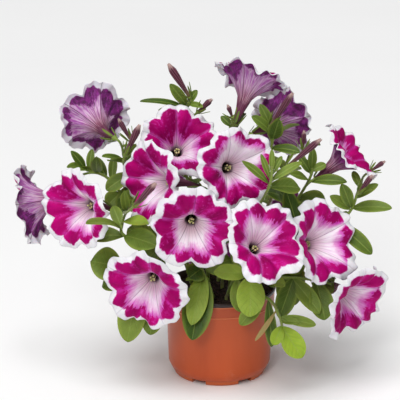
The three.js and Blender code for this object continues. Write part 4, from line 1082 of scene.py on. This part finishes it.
def drains(piece):
    """Ridges inside the floor, and the channels and holes cut under them."""
    turns = [DRAIN_FIRST_ANGLE + 360 / DRAINS * k for k in range(DRAINS)]
    for t in turns:
        ridge = slab(
            RIDGE_LENGTH, DRAIN_WIDTH + 2 * RIDGE_MARGIN, RIDGE_FOOT,
            DRAIN_HEIGHT + RIDGE_WALL, DRAIN_START - RIDGE_WALL, t,
        )
        cut(piece, [ridge], "UNION")
    for t in turns:
        channel = slab(DRAIN_END - DRAIN_START, DRAIN_WIDTH, -2, DRAIN_HEIGHT, DRAIN_START, t)
        cut(piece, [channel], "DIFFERENCE")
        hole = bmesh.new()
        radius = DRAIN_HOLE_RADIUS * MM
        bmesh.ops.create_cone(
            hole, cap_ends=True, segments=24, radius1=radius, radius2=radius, depth=9 * MM
        )
        away = Vector((math.cos(math.radians(t)), math.sin(math.radians(t)), 0))
        away = away * DRAIN_HOLE_REACH * MM + Vector((0, 0, 4.6 * MM))
        bmesh.ops.translate(hole, vec=away, verts=hole.verts)
        cut(piece, [hole], "DIFFERENCE")


def terracotta(name):
    """Satin moulded plastic, darker and duller on the rolled lip, lighter on the foot, with two
    painted highlight lines on the rim band.
    """
    paint = Paint(name, Specular_IOR_Level=0.3, Coat_Weight=0.1, Coat_Roughness=0.25)
    where = paint.place()
    height = Value(paint, paint.node("SeparateXYZ", sockets={0: where}).outputs[2])
    stretched = paint.node("Mapping", sockets={"Vector": where, "Scale": (40, 40, 9)}).outputs[0]
    cloud = paint.noise(stretched, 1.0, 3.0)
    grain = paint.noise(where, 700.0, 2.0)
    scuff = paint.rise(paint.noise(where, 55.0, 5.0, 0.7), 0.6, 0.78)
    colour = paint.mix(cloud, "#AA4218", "#C65624")
    colour = paint.mix((1 - paint.rise(height, 0.0045, 0.006)) * 0.6, colour, "#C8683A")
    band = paint.rise(height, 0.0752, 0.0768)
    lip = paint.rise(height, 0.0874, 0.0878)
    flat = paint.node("VectorMath", {"operation": "MULTIPLY"}, {0: where, 1: (1, 1, 0)})
    radius = paint.node("VectorMath", {"operation": "LENGTH"}, {0: flat.outputs[0]})
    radius = radius.outputs["Value"]
    inner = (1 - paint.rise(radius, 0.0549, 0.0553)) * paint.rise(height, 0.08, 0.082)
    colour = paint.mix(band * 0.45, colour, "#8E2E0C")
    # painted highlights: two thin light lines, at the foot and at the top of the rim band
    highlight_lines = [1 - paint.rise(abs(height - level), 0.0002, 0.0006) for level in (0.0757, 0.0868)]
    colour = paint.mix((highlight_lines[0] + highlight_lines[1]) * 0.7, colour, "#E08A5A")
    colour = paint.tint(colour, "#A8502F", height, 0.02, 0.075, 0.3)
    colour = paint.mix(lip, colour, "#2E201E")
    colour = paint.mix(inner, colour, "#35241E")
    colour = paint.mix(scuff * 0.14, colour, "#CFA183")
    rough = 0.3 + cloud * 0.12 + scuff * 0.2
    return paint.finish(colour, rough, grain + cloud, 0.0002, 0.35)


# ---- soil ----
def soil_height(x, y):
    """Bumps of the soil surface, in mm."""
    return 1.3 * noise.noise((x / 9, y / 9, 3.1)) + 0.9 * noise.noise((x / 3.2, y / 3.2, 7.7))


def soil_parts():
    """Plug of soil with a bumpy surface, and loose crumbs on it."""
    rings = np.concatenate([np.linspace(0, 51.8, 44), [52.2, 51.9, 51.0, 49.4, 46.0, 30, 0]])
    heights = np.concatenate([np.full(44, SOIL_SURFACE), [82.5, 60, 40, 13.4, 6.4, 6.4, 6.4]])

    def bumps(row, x, y):
        return np.where(row < 43, [soil_height(a, b) for a, b in zip(x, y)], 0)

    random = seeded(311)
    crumbs = bmesh.new()
    for _ in range(CRUMBS):
        turn, reach = 2 * math.pi * random(), CRUMB_REACH * math.sqrt(random())
        size = 0.5 + 1.5 * random() ** 3
        x, y = reach * math.cos(turn), reach * math.sin(turn)
        z = SOIL_SURFACE + soil_height(x, y) + 0.25 * size
        squash = Matrix.Diagonal((0.7 + 0.6 * random(), 0.7 + 0.6 * random(), 0.7, 1))
        spin = Matrix.Rotation(6.3 * random(), 4, Vector((random(), random(), 0.3)).normalized())
        place = Matrix.Translation(Vector((x, y, z)) * MM) @ spin @ squash
        bmesh.ops.create_icosphere(crumbs, subdivisions=1, radius=size * MM, matrix=place)
    return [lathe(120, np.stack([rings, heights], axis=1), bumps), crumbs]


def peat(name):
    """Dark crumbly soil with browner fibres."""
    paint = Paint(name, Specular_IOR_Level=0.3)
    clods = paint.noise(paint.place(), 260.0, 4.0, 0.65)
    grain = paint.noise(paint.place(), 1500.0, 2.0)
    colour = paint.tint("#1D130E", "#3A271C", clods, 0.4, 0.65)
    colour = paint.tint(colour, "#6B4A35", grain, 0.64, 0.75, 0.5)
    return paint.finish(colour, 0.85 + grain * 0.1, clods + grain * 0.4, 0.0012, 0.9)


# ---- the camera, at the height and angle of the front view ----
def make_camera():
    data = bpy.data.cameras.new("view")
    data.lens, data.sensor_width = 135, 36
    data.clip_start, data.clip_end = 0.05, 50
    camera = linked("view", data)
    camera.location = Vector((AIM - AHEAD * EYE_DISTANCE) * MM)
    camera.rotation_euler = (math.pi / 2 - EYE_TILT, 0, 0)
    scene.camera = camera


def lamp(name, place, size, power):
    """Square soft light that looks at the plant."""
    data = bpy.data.lights.new(name, "AREA")
    data.size, data.energy = size, power
    made = linked(name, data)
    made.location = place
    way = Vector((0, 0, 0.17)) - Vector(place)
    made.rotation_euler = way.to_track_quat("-Z", "Y").to_euler()


def make_studio():
    """Pale floor, white surroundings and soft lamps."""
    bm = bmesh.new()
    bmesh.ops.create_grid(bm, x_segments=1, y_segments=1, size=4)
    floor = linked("floor", mesh_of("floor", bm))
    floor.data.materials.append(plain("floor", "#F8F8F8", "#FBFBFB", 3.0, 0.8, 0.0))
    world = bpy.data.worlds.new("studio")
    world.use_nodes = True
    background = world.node_tree.nodes["Background"].inputs
    background["Color"].default_value = (1, 1, 1, 1)
    background["Strength"].default_value = 0.28
    scene.world = world
    sun = bpy.data.lights.new("top", "SUN")
    sun.energy, sun.angle = 2.1, math.radians(40)
    overhead = linked("top", sun)
    overhead.rotation_euler = (math.radians(18), math.radians(-10), 0)
    lamp("key", (-0.5, -1.9, 1.3), 0.6, 15)
    lamp("fill", (1.4, -1.2, 0.8), 1.0, 1.5)
    scene.view_settings.view_transform = "Standard"


# ---- the plant ----
make_camera()
make_studio()

plastic = terracotta("terracotta_plastic")
drains(finished("pot_moulded", [lathe(144, POT_SKIN)], [plastic], "pot"))
finished("soil_crumbly", soil_parts(), [peat("peat")], "potting_soil")

hair = plain("hair", "#C9CFB0", "#DDE0CC", 90.0, 0.5)
green = [leaf_green("leaf_green"), stem_green("stem_green"), hair]
for index, shoot in enumerate(SHOOTS):
    parts = leafy_stem_parts(index)
    finished(f"foliage_{shoot.name}", parts, green, f"leafy_stem_{shoot.name}")

throat = [
    plain("filament", "#C9CFA0", "#D8D8B0", 200.0, 0.5),
    plain("anther", "#D9D6A0", "#B9AE6A", 1500.0, 0.7, 0.0003),
    plain("stigma", "#8FA04A", "#A3B25C", 600.0, 0.4),
]
for number, bloom in enumerate(BLOOMS):
    inner, lean, blush, arms = STARS.get(bloom.name, (0.4, 1.7 * number, 0.4, 0.25))
    pattern = 3.7 * number, inner, lean, arms
    petals = [
        petal_face(f"petal_face_{bloom.name}", blush, *pattern),
        petal_back(f"petal_back_{bloom.name}", *pattern),
    ]
    finished(f"corolla_{bloom.name}", bloom_parts(bloom), petals, f"bloom_{bloom.name}")
    finished(f"stamens_{bloom.name}", stamens(bloom), throat)

maroon = bud_petals("bud_petals")
for bud in BUDS:
    finished(f"furled_{bud.name}", bud_parts(bud), [maroon], f"bud_{bud.name}")
